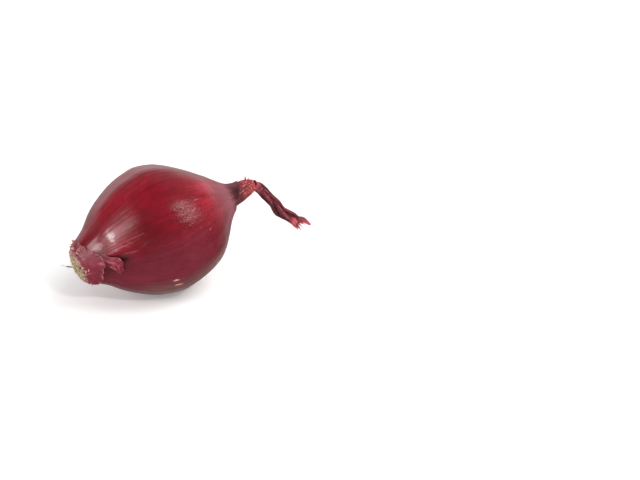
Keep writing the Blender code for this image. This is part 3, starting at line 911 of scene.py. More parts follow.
@dataclass
class RootHairs(SkinPiece):
    """The one long dry root hair, and shorter ones beside it.

    Attributes:
        start: radius, turn and station where the long hair leaves the root plate.
        heading: the way it points in the row frame.
        length: of the long hair.
        sag: how far its middle hangs.
        radius: at its root.
        short_count: how many shorter hairs.
        short_lengths: the least and the most of theirs.
        short_radius: theirs at the root.
        short_roots: the share of plate_radius between which they stand, at plate_station.
        seed: of what varies from hair to hair.
    """

    start: Triple = (5.2 * MM, math.radians(235), -1.5 * MM)
    heading: Triple = (-0.85, 0.53, 0.15)
    length: float = 6.5 * MM
    sag: float = 0.1 * MM
    radius: float = 0.3 * MM
    short_count: int = 8
    short_lengths: Pair = (1.0 * MM, 1.6 * MM)
    short_radius: float = 0.14 * MM
    short_roots: Pair = (0.4, 0.85)
    plate_radius: float = 7.6 * MM
    plate_station: float = -1.2 * MM
    seed: int = 23
    sides: int = 8
    rows: int = 24

    def model(self) -> Object:
        """Draws each hair as a tapered tube, and joins them.

        Returns:
            The mesh.
        """
        draw = random.Random(self.seed)
        start = self.shape.place(*self.start)
        heading = np.array(Vector(self.heading).normalized())
        steps = np.linspace(0, 1, self.rows + 1)
        sag = np.outer(np.sin(math.pi * steps), (0, 0, -self.sag))
        kink = np.outer(np.sin(9 * steps) * steps, (0, 0.05 * MM, 0.08 * MM))
        route = start + np.outer(steps, heading) * self.length * 0.98 + sag + kink
        thinning = 1 - 0.75 * ease(steps, 0.5, 0.7)
        hairs = [self.hair("root_hairs", route, self.radius * thinning, 0.8)]
        for i in range(self.short_count):
            turn = draw.uniform(0, math.pi)
            out = draw.uniform(*self.short_roots)
            root = self.shape.place(self.plate_radius * out, turn, self.plate_station)
            away = self.shape.direction(1.0, turn + draw.uniform(-0.9, 0.9), -draw.uniform(0.3, 1.2))
            away = away / np.linalg.norm(away)
            length = draw.uniform(*self.short_lengths)
            curl = np.array([draw.uniform(-1, 1) for _ in range(3)]) * 0.5 * MM
            route = root + np.outer(steps, away) * length + np.outer(steps**2, curl)
            hairs.append(self.hair(f"short_hair_{i}", route, self.short_radius * (1 - 0.5 * steps), 0.2))
        return joined(hairs)

    def hair(self, name: str, route: Values, radii: Values, darkness: float) -> Object:
        """Draws one hair, and keeps how dark it is painted: its own dark dry colour and painted shade."""
        hair = tube(name, route, radii, self.sides)
        store(hair, pit=np.full(len(hair.data.vertices), darkness))
        return hair


def path_frames(route: Values, facing: Sequence[float]) -> tuple[Values, Values, Values]:
    """The directions along and across a route.

    Args:
        route: its points, one row each.
        facing: the direction that the first of the two across directions keeps nearest to.

    Returns:
        For each point, the directions along the route, nearest to facing, and square to both.
    """
    along = np.gradient(route, axis=0)
    along /= np.linalg.norm(along, axis=1)[:, None]
    facing = np.asarray(facing, float)
    side = facing - along * (along @ facing)[:, None]
    side /= np.linalg.norm(side, axis=1)[:, None]
    return along, side, np.cross(side, along)


def tube(name: str, route: Values, radii: Values, sides: int) -> Object:
    """Rolls a grid into a closed tube along a route.

    Args:
        name: the piece's name.
        route: its points, one row each.
        radii: its radius at each point.
        sides: how many sides it has.

    Returns:
        The tube.
    """
    obj, across, along = add_grid(name, sides, len(route) - 1)
    row = np.rint(along * (len(route) - 1)).astype(int)
    _, side, over = path_frames(route, (0.3, -1, 0.2))
    angle = 2 * math.pi * across
    reach = np.cos(angle)[:, None] * over[row] + np.sin(angle)[:, None] * side[row]
    move_to(obj, route[row] + reach * radii[row][:, None])
    weld(obj)
    return obj


@dataclass
class TornSkin(SkinPiece):
    """The remnant of the outermost skin round the root end.

    Attributes:
        edge: turn_deg and station_mm of the remnant's ragged edge.
        start: the station where it leaves the root end.
        thickness: of the dry skin.
        fold_line: turn_deg at the station fold_station, and degrees a millimetre, of its raised fold, which
            the finish paints paler as a painted highlight.
        fold_width_deg: how wide that fold is.
        lifts: how far the sheet lies off the skin, how far its free part stands off besides, and the
            heights of its crumples, its fold and the crumples that reach its root.
    """

    edge: Pairs = (
        (-6, 1.2), (4, 2.3), (14, 1.9), (26, 3.1), (33, 3.0), (42, 4.8), (50, 5.4), (57, 6.8),
        (68, 7.6), (79, 7.3), (86, 6.1), (93, 6.2), (100, 5.3), (112, 5.2), (120, 4.6), (134, 3.4),
        (143, 2.2), (152, 1.2),
    )
    start: float = -0.2 * MM
    thickness: float = 0.2 * MM
    fold_station: float = 5 * MM
    fold_line: Pair = (71.5, 2.9)
    fold_width_deg: float = 3.5
    lifts: tuple[float, ...] = (0.22 * MM, 0.4 * MM, 0.22 * MM, 0.35 * MM, 0.1 * MM)
    columns: int = 220
    rows: int = 46

    def model(self) -> Object:
        """Bends a grid round the root end and crumples it.

        Returns:
            The mesh.
        """
        sheet, across, along = add_grid("torn_skin", self.columns, self.rows)
        first, last = math.radians(self.edge[0][0]), math.radians(self.edge[-1][0])
        turn = first + (last - first) * across
        torn = smooth_values([(t, s * MM) for t, s in self.edge], np.degrees(turn))
        torn = torn + 0.35 * MM * cloud(np.stack((turn, turn * 0, turn * 0), -1), 0.09, 3, seed=4)
        station = self.start + (torn - self.start) * along
        flat = round_places(turn, station) * MM
        crumple = cloud(flat * (1, 1, 0.7), 4.5 * MM, 3, seed=9)
        fold_turn, slope = self.fold_line
        off = np.degrees(turn) - fold_turn - (station - self.fold_station) / MM * slope
        fold = np.exp(-((off / self.fold_width_deg) ** 2)) * ease(station, 2.8 * MM, 4.2 * MM)
        free = ease(along, 0.35, 1.0)
        middle = ease(across, 0.0, 0.12) * ease(across, 1.0, 0.9)
        off_skin, stands, crumpled, folded, rooted = self.lifts
        lift = off_skin + free * middle * (stands + crumpled * crumple + folded * fold)
        lift = lift + rooted * crumple * ease(along, 0.1, 0.4)
        move_to(sheet, self.shape.skin(station, turn, lift))
        rim = ease(along, 0.96, 1.0)
        sides = np.maximum(ease(across, 0.02, 0.0), ease(across, 0.98, 1.0))
        # The raised fold and crumples are kept as fold, which the finish paints paler, a painted highlight.
        raised = np.clip(fold + 0.3 * crumple, 0, 1) * free
        store(sheet, round=round_places(turn, station), torn=np.maximum(rim, sides), fold=raised)
        apply_modifier(sheet, "SOLIDIFY", thickness=self.thickness, offset=1)
        return sheet


@dataclass
class CurledFlap(SkinPiece):
    """The flap that curls off the remnant, with a sharp crest along it and ragged edges.

    Attributes:
        outer_edge: station_mm, turn_deg and lift_mm of the edge that stands off the bulb.
        inner_edge: the same of its other edge. Both run to the flap's corner.
        crests: where the crests lie between the inner and the outer edge, and their heights.
        crest_width: of each crest, as a share of the flap's width.
        raggedness: how far its torn edges wander.
        thickness: of the dry skin.
    """

    outer_edge: Triples = (
        (4.6, 52, 0.3), (7.2, 56, 0.45), (9.2, 62, 0.8), (10.8, 68, 1.2), (12.7, 70, 1.6),
        (13.7, 78.5, 1.8), (13.0, 88, 1.5), (11.9, 95.5, 1.1),
    )
    inner_edge: Triples = (
        (4.6, 76, 0.3), (6.4, 78, 0.5), (7.8, 80, 0.55), (8.9, 83, 0.6), (9.8, 86, 0.7),
        (10.6, 89, 0.8), (11.1, 91.5, 0.9), (11.5, 94, 1.0),
    )
    crests: Pairs = ((0.42, 0.8 * MM), (0.8, 0.4 * MM), (0.12, 0.25 * MM))
    crest_width: float = 0.09
    raggedness: float = 0.35 * MM
    thickness: float = 0.18 * MM
    columns: int = 44
    rows: int = 100

    def model(self) -> Object:
        """Bends a grid between the two edges, and folds it along its crests.

        Returns:
            The mesh.
        """
        flap, across, along = add_grid("curled_flap", self.columns, self.rows)
        steps = np.linspace(0, 1, self.rows + 1)
        row = np.rint(along * self.rows).astype(int)
        inner, outer = (smooth_route(edge, steps)[row] for edge in (self.inner_edge, self.outer_edge))
        station, turn, lift = (inner + (outer - inner) * across[:, None]).T
        station, turn, lift = station * MM, np.radians(turn), lift * MM
        free = ease(along, 0.12, 0.5)
        flat = round_places(turn, station) * MM
        wander = cloud(flat, 3.0 * MM, 2, seed=12)
        crumple = cloud(flat, 1.4 * MM, 2, seed=13)
        crest = np.zeros_like(along)
        for middle, height in self.crests:
            crest = crest + height * np.exp(-np.abs(across - middle - 0.06 * wander) / self.crest_width)
        lift = lift + free * (crest - 0.25 * MM + 0.12 * MM * crumple)
        rim = np.maximum(ease(across, 0.9, 1.0), ease(across, 0.1, 0.0))
        torn_by = self.raggedness * rim * free * cloud(flat, 0.9 * MM, 2, seed=15)
        end_tear = self.raggedness * ease(along, 0.9, 1.0) * crumple
        move_to(flap, self.shape.skin(station + torn_by + end_tear, turn, lift))
        torn = np.maximum(ease(across, 0.965, 1.0), ease(across, 0.05, 0.0)) * free
        # The crests are kept as fold, which the finish paints paler, a painted highlight.
        fold = np.clip(crest / self.crests[0][1], 0, 1) * free
        store(flap, round=round_places(turn, station), torn=torn, fold=fold)
        apply_modifier(flap, "SOLIDIFY", thickness=self.thickness, offset=1)
        return flap


@dataclass
class RimFlakes(SkinPiece):
    """Small torn shards of skin that stand round the root end's rim.

    Attributes:
        count: how many shards.
        lengths: the least and the most.
        widths: the least and the most, as shares of the length.
        stations: between which they are rooted.
        crowded_deg: the turns between which most of them stand.
        crowded_share: how many of them stand there.
        seed: of what varies from shard to shard.
    """

    count: int = 36
    lengths: Pair = (0.8 * MM, 1.7 * MM)
    widths: Pair = (0.45, 0.9)
    stations: Pair = (-0.3 * MM, 2.4 * MM)
    crowded_deg: Pair = (-50.0, 45.0)
    crowded_share: float = 0.6
    seed: int = 37

    def model(self) -> Object:
        """Models one shard and plants copies of it.

        Returns:
            The mesh.
        """
        flake = self.flake()
        draw = random.Random(self.seed)
        flakes = [self.plant(flake, draw) for _ in range(self.count)]
        bpy.data.objects.remove(flake)
        flakes[0].name = flakes[0].data.name = "rim_flakes"
        return joined(flakes)

    def flake(self) -> Object:
        """Models one shard, one unit long, which narrows and curls up to its tip."""
        flake, across, along = add_grid("shard", 4, 5)
        off = 2 * across - 1
        narrowed = off * (1 - 0.7 * along**1.5) * (1 + 0.2 * np.sin(9 * along))
        curl = 0.3 * along**2 - 0.2 * off**2
        move_to(flake, np.stack((0.5 * narrowed, along, curl), -1))
        places = np.stack((off, along, along), -1)
        # The fold share rises towards the curled-up tip, where the finish paints it paler as on a raised
        # fold.
        store(flake, round=places, torn=0.3 + 0.7 * along, fold=0.5 + 0.5 * along)
        apply_modifier(flake, "SOLIDIFY", thickness=0.13, offset=0)
        return flake

    def plant(self, flake: Object, draw: random.Random) -> Object:
        """Copies the shard to one place on the rim.

        Args:
            flake: the shard to copy.
            draw: the seeded source of what varies.

        Returns:
            The copy, with its own mesh, in place.
        """
        crowded = draw.random() < self.crowded_share
        turn = math.radians(draw.uniform(*(self.crowded_deg if crowded else (0.0, 360.0))))
        foot = self.shape.skin(np.array(draw.uniform(*self.stations)), np.array(turn), 0.05 * MM)
        outward = self.shape.direction(1.0, turn, 0.0)
        back = self.shape.direction(0.0, 0.0, -1.0)
        swing, rise = draw.uniform(-0.9, 0.9), draw.uniform(0.05, 0.5)
        level = back * math.cos(swing) + np.cross(outward, back) * math.sin(swing)
        heading = level * math.cos(rise) + outward * math.sin(rise)
        sideways = np.cross(heading, outward)
        sideways /= np.linalg.norm(sideways)
        length = draw.uniform(*self.lengths)
        width = length * draw.uniform(*self.widths)
        upward = np.cross(sideways, heading)
        axes = (width * sideways, length * heading, length * upward)
        return turned_outwards(placed_copy(flake, foot, axes))


@dataclass
class RibbedSheath(SkinPiece):
    """The sleeve of dried leaf bases that comes out of the neck and gathers to its mouth.

    Attributes:
        outline: station_mm and radius_mm, from inside the neck to the mouth.
        bow: station_mm and the rise_mm of its middle towards the top.
        cup: radius_mm and depth_mm of the mouth's hollow.
        slant, tooth: how much further its mouth reaches at the top, and how far its teeth stand out.
        ribs: how many ribs run along it, and how far they stand out.
        wrinkle: the distance between the wrinkles that cross it, and their height.
        splinters: station_mm, turn_deg, length_mm and lean_deg of the splinters that peel off.
    """

    outline: Pairs = (
        (74.5, 5.85), (76.5, 5.4), (78.0, 5.0), (80.0, 4.65), (82.0, 4.45), (84.0, 4.15),
        (86.0, 3.6), (87.4, 3.05), (88.6, 2.6),
    )
    bow: Pairs = (
        (74.5, 0.0), (78.0, 0.0), (80.0, 0.05), (82.0, 0.3), (84.0, 0.55), (86.4, 0.65),
        (88.6, 0.4),
    )
    cup: Pair = (2.0, 1.5)
    slant: float = 0.8 * MM
    tooth: float = 0.6 * MM
    ribs: tuple[int, float] = (19, 0.26 * MM)
    wrinkle: Pair = (0.6 * MM, 0.12 * MM)
    splinters: Fours = (
        (85.2, 4, 3.4, 74), (86.4, 16, 1.6, 55), (87.2, 24, 1.9, 48), (87.6, 75, 1.7, 35),
        (86.9, -14, 1.9, 58), (86.4, 205, 2.0, 50), (83.4, 262, 1.8, 55), (85.2, 310, 1.5, 42),
    )

    def model(self) -> Object:
        """Turns the sleeve, gathers it into ribs and adds the splinters.

        Returns:
            The mesh.
        """
        sheath = spin_profile("ribbed_sheath", self.profile(), 48)
        apply_modifier(sheath, "SUBSURF", levels=3, render_levels=3)
        self.gather(sheath)
        splinter = self.splinter()
        peeled = [self.peel(splinter, row) for row in self.splinters]
        bpy.data.objects.remove(splinter)
        return joined([sheath, *peeled])

    def profile(self) -> list[Pair]:
        """The cage's outline, from the hollow's floor over the mouth to the neck's pole."""
        base, mouth = self.outline[0][0], self.outline[-1][0]
        cup_radius, cup_depth = self.cup
        stations = np.linspace(mouth, base, 11)
        radii = smooth_values(self.outline, stations)
        points = [(0.0, mouth - cup_depth), (cup_radius * 0.9, mouth - cup_depth), (cup_radius, mouth - 0.1)]
        points += list(zip(radii, stations))
        points.append((0.0, base))
        return [(float(radius) * MM, float(station) * MM) for radius, station in points]

    def gather(self, sheath: Object) -> None:
        """Shapes the smooth sleeve into ribs and wrinkles, with a slanted, ragged mouth."""
        radius, turn, station = round_axis(places_of(sheath))
        mouth = self.outline[-1][0] * MM
        flat = on_cylinder(5 * MM, turn, station)
        wander = cloud(flat * (1, 1, 0.6), 2.4 * MM, 2, seed=14)
        count, height = self.ribs
        spiral = 0.05 * (station / MM - 78)
        ridge = (0.5 + 0.5 * np.cos(count * (turn + spiral) + 3.0 * wander)) ** 1.6
        spacing, wrinkle_height = self.wrinkle
        wrinkle = np.clip(2 * cloud(flat * (0.55, 0.55, 1), spacing, 2, seed=16), -1, 1)
        outer = ease(radius, (self.cup[0] + 0.15) * MM, (self.cup[0] + 0.5) * MM)
        free = outer * ease(station, 75.5 * MM, 78.0 * MM)
        raised = height * (ridge - 0.45) + wrinkle_height * wrinkle * (0.35 + 0.65 * ridge)
        radius = radius + free * raised
        near_mouth = ease(station, mouth - 2.5 * MM, mouth)
        ragged = teeth(turn + 1, self.tooth, 2.0) - self.slant * (1 - np.cos(turn)) / 2
        places = self.shape.place(radius, turn, station + near_mouth * ragged)
        rise = smooth_values([(s * MM, b * MM) for s, b in self.bow], station)
        move_to(sheath, places + np.outer(rise, self.shape.direction(1.0, 0.0, 0.0)))
        ridge = np.clip(ridge * (0.6 + 0.7 * wrinkle), 0, 1)
        store(sheath, round=round_places(turn, station), ridge=ridge, torn=near_mouth**3)

    def splinter(self) -> Object:
        """Models one splinter, one unit long, as a flat pointed blade that curls back."""
        blade = sliced_cylinder("splinter", 8, (0.2, 0.4, 0.6, 0.8))
        local = places_of(blade)
        taper = 1 - 0.85 * local[:, 2] ** 1.3
        local[:, 0] *= 0.28 * taper
        local[:, 1] = local[:, 1] * 0.1 * taper - 0.18 * local[:, 2] ** 2
        move_to(blade, local)
        at_mouth = np.full((len(local), 3), self.outline[-1][0])
        store(blade, ridge=np.full(len(local), 0.45), torn=local[:, 2] ** 2, round=at_mouth)
        return blade

    def peel(self, splinter: Object, row: Sequence[float]) -> Object:
        """Copies the splinter to one place on the sleeve.

        Args:
            splinter: the splinter to copy.
            row: its row of splinters: where it leaves the sleeve, its length and its lean.

        Returns:
            The copy, with its own mesh, in place.
        """
        station_mm, turn_deg, length_mm, lean_deg = row
        turn, lean = math.radians(turn_deg), math.radians(lean_deg)
        rise = float(smooth_values(self.bow, np.array(station_mm))) * MM
        radius = float(smooth_values(self.outline, np.array(station_mm))) * MM
        foot = self.shape.place(radius - 0.3 * MM, turn, station_mm * MM)
        foot = foot + rise * self.shape.direction(1.0, 0.0, 0.0)
        heading = self.shape.direction(math.sin(lean), turn, math.cos(lean))
        sideways = self.shape.direction(1.0, turn + math.pi / 2, 0.0)
        outward = np.cross(heading, sideways)
        axes = length_mm * MM * np.stack((sideways, outward, heading))
        return turned_outwards(placed_copy(splinter, foot, axes))


@dataclass
class LeafStrand(Piece):
    """One strand of dried leaves: a folded, twisted ribbon.

    Attributes:
        name: the piece's name.
        mouth: the middle of the sheath's mouth in the row frame.
        route_mm: steps from the mouth that its middle passes, each with its radius.
        folds: how many folds round it, share of the radius, phase. A share below 0 gives thin ridges
            where one above 0 gives thin furrows.
        twist: how far the folds turn along it.
        seed: shifts its waves, so that no two strands are alike.
        squash: its depth as a share of its height.
    """

    name: str
    mouth: Values
    route_mm: Fours
    folds: tuple[tuple[int, float, float], ...]
    twist: float
    seed: float
    squash: float = 0.8
    sides: int = 90
    rows: int = 260

    def model(self) -> Object:
        """Rolls a grid along the strand's route and folds it.

        Returns:
            The mesh.
        """
        strand, across, along = add_grid(self.name, self.sides, self.rows)
        track = smooth_route(self.route_mm, np.linspace(0, 1, self.rows + 1)) * MM
        centre = self.mouth + track[:, :3]
        centre += 0.12 * MM * np.stack([cloud(centre, 4 * MM, 2, seed=self.seed + i) for i in range(3)], -1)
        _, side, over = path_frames(centre, (0, -1, 0))
        row = np.rint(along * self.rows).astype(int)
        round_angle = 2 * math.pi * across
        turned = round_angle + self.twist * along
        fold = np.zeros_like(along)
        for count, share, phase in self.folds:
            fold = fold + share * (1 - 2 * np.abs(np.sin(count / 2 * (turned + phase))) ** 0.8)
        lump = cloud(on_cylinder(1, round_angle, along * 14), 1.3, 2, self.seed)
        radius = np.maximum(track[row, 3], 0) * (1 - fold + 0.12 * lump)
        up_share = np.cos(round_angle) * radius
        side_share = np.sin(round_angle) * radius * self.squash
        places = centre[row] + up_share[:, None] * over[row] + side_share[:, None] * side[row]
        move_to(strand, places)
        reach = sum(abs(share) for _, share, _ in self.folds)
        # ridge is low in the folds and high on their crests, for the painted shade and painted highlight of
        # the finish.
        ridge = np.clip(0.5 - fold / (2 * reach) + 0.2 * lump, 0, 1)
        store(strand, ridge=ridge, torn=ease(along, 0.74, 0.94), strand=on_cylinder(2, turned, along * 30))
        weld(strand)
        return strand


@dataclass
class LeafCollar(Piece):
    """The torn, flared foot of the leaves, which wraps the strands where they leave the sheath.

    Attributes:
        mouth: the middle of the sheath's mouth in the row frame.
        route_mm: steps from the mouth that its middle passes, each with its radius.
        tooth: how far the teeth of its torn ends stand out.
        spike: how far its longest tooth stands back over the sheath.
        folds: how many folds round it, and their height.
        thickness: of the dry leaf.
    """

    mouth: Values
    route_mm: Fours = (
        (0.3, 0.0, -0.1, 2.25), (0.9, 0.1, -0.4, 2.1), (1.7, 0.2, -0.9, 1.9),
        (2.5, 0.3, -1.7, 1.65), (3.1, 0.4, -2.6, 1.5),
    )
    tooth: float = 0.9 * MM
    spike: float = 0.9 * MM
    folds: tuple[int, float] = (9, 0.14 * MM)
    thickness: float = 0.18 * MM
    sides: int = 120
    rows: int = 36

    def model(self) -> Object:
        """Rolls a grid round the foot of the leaves, and tears both its ends.

        Returns:
            The mesh.
        """
        collar, across, along = add_grid("leaf_collar", self.sides, self.rows)
        angle = 2 * math.pi * across
        track = smooth_route(self.route_mm, np.linspace(0, 1, self.rows + 1)) * MM
        centre = self.mouth + track[:, :3]
        ahead, side, over = path_frames(centre, (0, -1, 0))
        row = np.rint(along * self.rows).astype(int)
        count, depth = self.folds
        crumple = cloud(on_cylinder(1, angle, along), 0.6, 2, seed=61)
        radius = track[row, 3] + depth * np.sin(count * angle + 2 * crumple) + 0.12 * MM * crumple
        away = np.cos(angle)[:, None] * over[row] + np.sin(angle)[:, None] * side[row]
        forward = teeth(angle, self.tooth, 2.0) * ease(along, 0.5, 1.0)
        upper = np.exp(-((np.minimum(angle, 2 * math.pi - angle) / 0.22) ** 2))
        backward = (teeth(angle + 2, 0.4 * self.tooth, 2.0) + self.spike * upper) * ease(along, 0.3, 0.0)
        places = centre[row] + away * (radius + 0.5 * upper * self.spike * ease(along, 0.3, 0.0))[:, None]
        move_to(collar, places + ahead[row] * (forward - backward)[:, None])
        # ridge follows the folds, for the painted shade and painted highlight of the finish.
        ridge = 0.55 + 0.35 * np.sin(count * angle + 2 * crumple)
        torn = np.maximum(0.8 * ease(along, 0.75, 1.0), 0.45)
        store(collar, ridge=ridge, torn=torn, strand=on_cylinder(2, angle, along * 3))
        weld(collar, close=False)
        apply_modifier(collar, "SOLIDIFY", thickness=self.thickness, offset=-1)
        return collar


@dataclass
class FrayedEnds(Piece):
    """The pale split ends of the dry leaves: flat ribbons that spread from the tail's end.

    Attributes:
        mouth: the middle of the sheath's mouth in the row frame.
        routes_mm: each ribbon's steps from the mouth.
        width: half of a ribbon's width at its root and at its tip.
        thickness: half of its thickness.
    """

    mouth: Values
    routes_mm: tuple[Triples, ...]
    width: Pair = (0.95 * MM, 0.22 * MM)
    thickness: float = 0.17 * MM
    sides: int = 14
    rows: int = 40

    def model(self) -> Object:
        """Draws each ribbon along its route, and joins them.

        Returns:
            The mesh.
        """
        ribbons = [self.ribbon(i, route) for i, route in enumerate(self.routes_mm)]
        return joined(ribbons)

    def ribbon(self, index: int, route_mm: Sequence[Sequence[float]]) -> Object:
        """Draws one ribbon.

        Args:
            index: its place in the row of ribbons, which varies its curl.
            route_mm: its steps from the mouth.

        Returns:
            The ribbon.
        """
        ribbon, across, along = add_grid(f"frayed_end_{index}", self.sides, self.rows)
        steps = np.linspace(0, 1, self.rows + 1)
        centre = self.mouth + smooth_route(route_mm, steps) * MM
        _, side, over = path_frames(centre, (0.2, -1, 0.3))
        row = np.rint(along * self.rows).astype(int)
        curl = 0.5 * math.sin(2.1 * index) + 1.2 * math.sin(1.3 * index + 1) * along
        first = np.cos(curl)[:, None] * over[row] + np.sin(curl)[:, None] * side[row]
        second = -np.sin(curl)[:, None] * over[row] + np.cos(curl)[:, None] * side[row]
        angle = 2 * math.pi * across
        wide, narrow = self.width
        half = wide + (narrow - wide) * along**1.1
        half = half * (1 + 0.2 * cloud(np.stack((along * 5, along * 0, along * 0), -1), 1.0, 2, index))
        wave = 0.25 * np.cos(3 * angle + index)
        thick = self.thickness * (1 - 0.4 * along) * (1 + wave)
        places = centre[row] + (np.cos(angle) * half)[:, None] * first
        move_to(ribbon, places + (np.sin(angle) * thick)[:, None] * second)
        flat = np.stack((across * 4, across * 0 + index, along * 8), -1)
        # ridge is highest on the ribbon's edges, painted lighter there as a painted highlight.
        store(ribbon, ridge=0.5 + 0.5 * np.abs(np.cos(angle)) ** 3, torn=ease(along, 0.1, 0.9), strand=flat)
        weld(ribbon)
        return ribbon


def linear(hex_colour: str) -> Four:
    """Turns an sRGB hex colour to the linear colour that the shaders take."""
    parts = [int(hex_colour[i : i + 2], 16) / 255 for i in (1, 3, 5)]
    red, green, blue = (p / 12.92 if p <= 0.04045 else ((p + 0.055) / 1.055) ** 2.4 for p in parts)
    return red, green, blue, 1.0


def add_node(
    tree: NodeTree,
    kind: str,
    settings: dict[str, object] | None = None,
    inputs: dict[str | int, object] | None = None,
    stops: Stops = (),
) -> Node:
    """Adds a shader node with its settings and its inputs.

    Args:
        tree: the material's node tree.
        kind: the node's type, without the word ShaderNode before it.
        settings: the node's own properties.
        inputs: for each input, by name or place, a value, an sRGB hex colour, the name of a number
            that the mesh keeps, another node's output, or another node, whose first output in use is
            then taken.
        stops: places and sRGB hex colours of a colour ramp.

    Returns:
        The node.
    """
    node = tree.nodes.new("ShaderNode" + kind)
    for key, value in (settings or {}).items():
        setattr(node, key, value)
    for key, value in (inputs or {}).items():
        if isinstance(value, str) and value.startswith("#"):
            value = linear(value)
        elif isinstance(value, str):
            value = add_node(tree, "Attribute", {"attribute_name": value}).outputs["Fac"]
        elif isinstance(value, Node):
            value = next(output for output in value.outputs if output.enabled)
        if isinstance(value, NodeSocket):
            tree.links.new(value, node.inputs[key])
        else:
            node.inputs[key].default_value = value
    for i, (place, colour) in enumerate(stops):
        elements = node.color_ramp.elements
        element = elements[i] if i < 2 else elements.new(place)
        element.position, element.color = place, linear(colour)
    return node


COLOUR_MIX = {"data_type": "RGBA"}
MIX_UNDER, MIX_OVER = 6, 7
NUMBER_MIX = {"data_type": "FLOAT"}
FIRST, SECOND = 2, 3
SMOOTH = {"interpolation_type": "SMOOTHSTEP"}
TIMES = {"operation": "MULTIPLY"}
PLUS = {"operation": "ADD"}
TIMES_PLUS = {"operation": "MULTIPLY_ADD"}


@dataclass(frozen=True)
class Finish:
    """What every finish has: a name, and a tree that ends in one Principled shader.

    Attributes:
        ior: the refractive index of dry plant skin, which is about that of wax.
    """

    name: str
    ior: float = field(default=1.45, kw_only=True)

    def material(self) -> Material:
        """The finish's material, which is made and its tree filled the first time."""
        if self.name in bpy.data.materials:
            return bpy.data.materials[self.name]
        material = bpy.data.materials.new(self.name)
        material.use_nodes = True
        tree = material.node_tree
        tree.nodes.clear()
        shader = add_node(tree, "BsdfPrincipled", inputs={"IOR": self.ior} | self.fill(tree))
        add_node(tree, "OutputMaterial", inputs={"Surface": shader})
        return material

    def fill(self, tree: NodeTree) -> dict[str, object]:
        """Adds the finish's own nodes, and gives what the shader's inputs take."""
        raise NotImplementedError


def grain(tree: NodeTree, places: Node, size_mm: float, stretch: float = 1.0, detail: float = 2.0) -> Node:
    """Random grain that is size_mm wide, for places in millimetres.

    Args:
        tree: the material's node tree.
        places: the node whose Vector output gives the places.
        size_mm: how wide the grains are.
        stretch: how many times longer they are along the third axis.
        detail: how many finer layers they hold.

    Returns:
        The noise node, whose first output runs from 0 to 1.
    """
    inputs = {0: places.outputs["Vector"], "Scale": (1, 1, 1 / stretch)}
    drawn_out = add_node(tree, "Mapping", inputs=inputs)
    return add_node(tree, "TexNoise", inputs={"Vector": drawn_out, "Scale": 1 / size_mm, "Detail": detail})


def object_places_mm(tree: NodeTree) -> Node:
    """Places in the row frame, in millimetres."""
    coordinates = add_node(tree, "TexCoord")
    inputs = {0: coordinates.outputs["Object"], "Scale": (1 / MM, 1 / MM, 1 / MM)}
    return add_node(tree, "Mapping", inputs=inputs)


def wandering_station(tree: NodeTree, around: Node, waves: Node, reach_mm: float) -> Node:
    """The station in millimetres, which waves move back and forth along the onion.

    Args:
        tree: the material's node tree.
        around: the node whose Vector output has the station as its third number.
        waves: the node that moves it.
        reach_mm: how far it moves at most.

    Returns:
        The node that gives the station.
    """
    station_mm = add_node(tree, "SeparateXYZ", inputs={0: around.outputs["Vector"]}).outputs[2]
    return add_node(tree, "Math", TIMES_PLUS, {0: waves, 1: reach_mm, 2: station_mm})


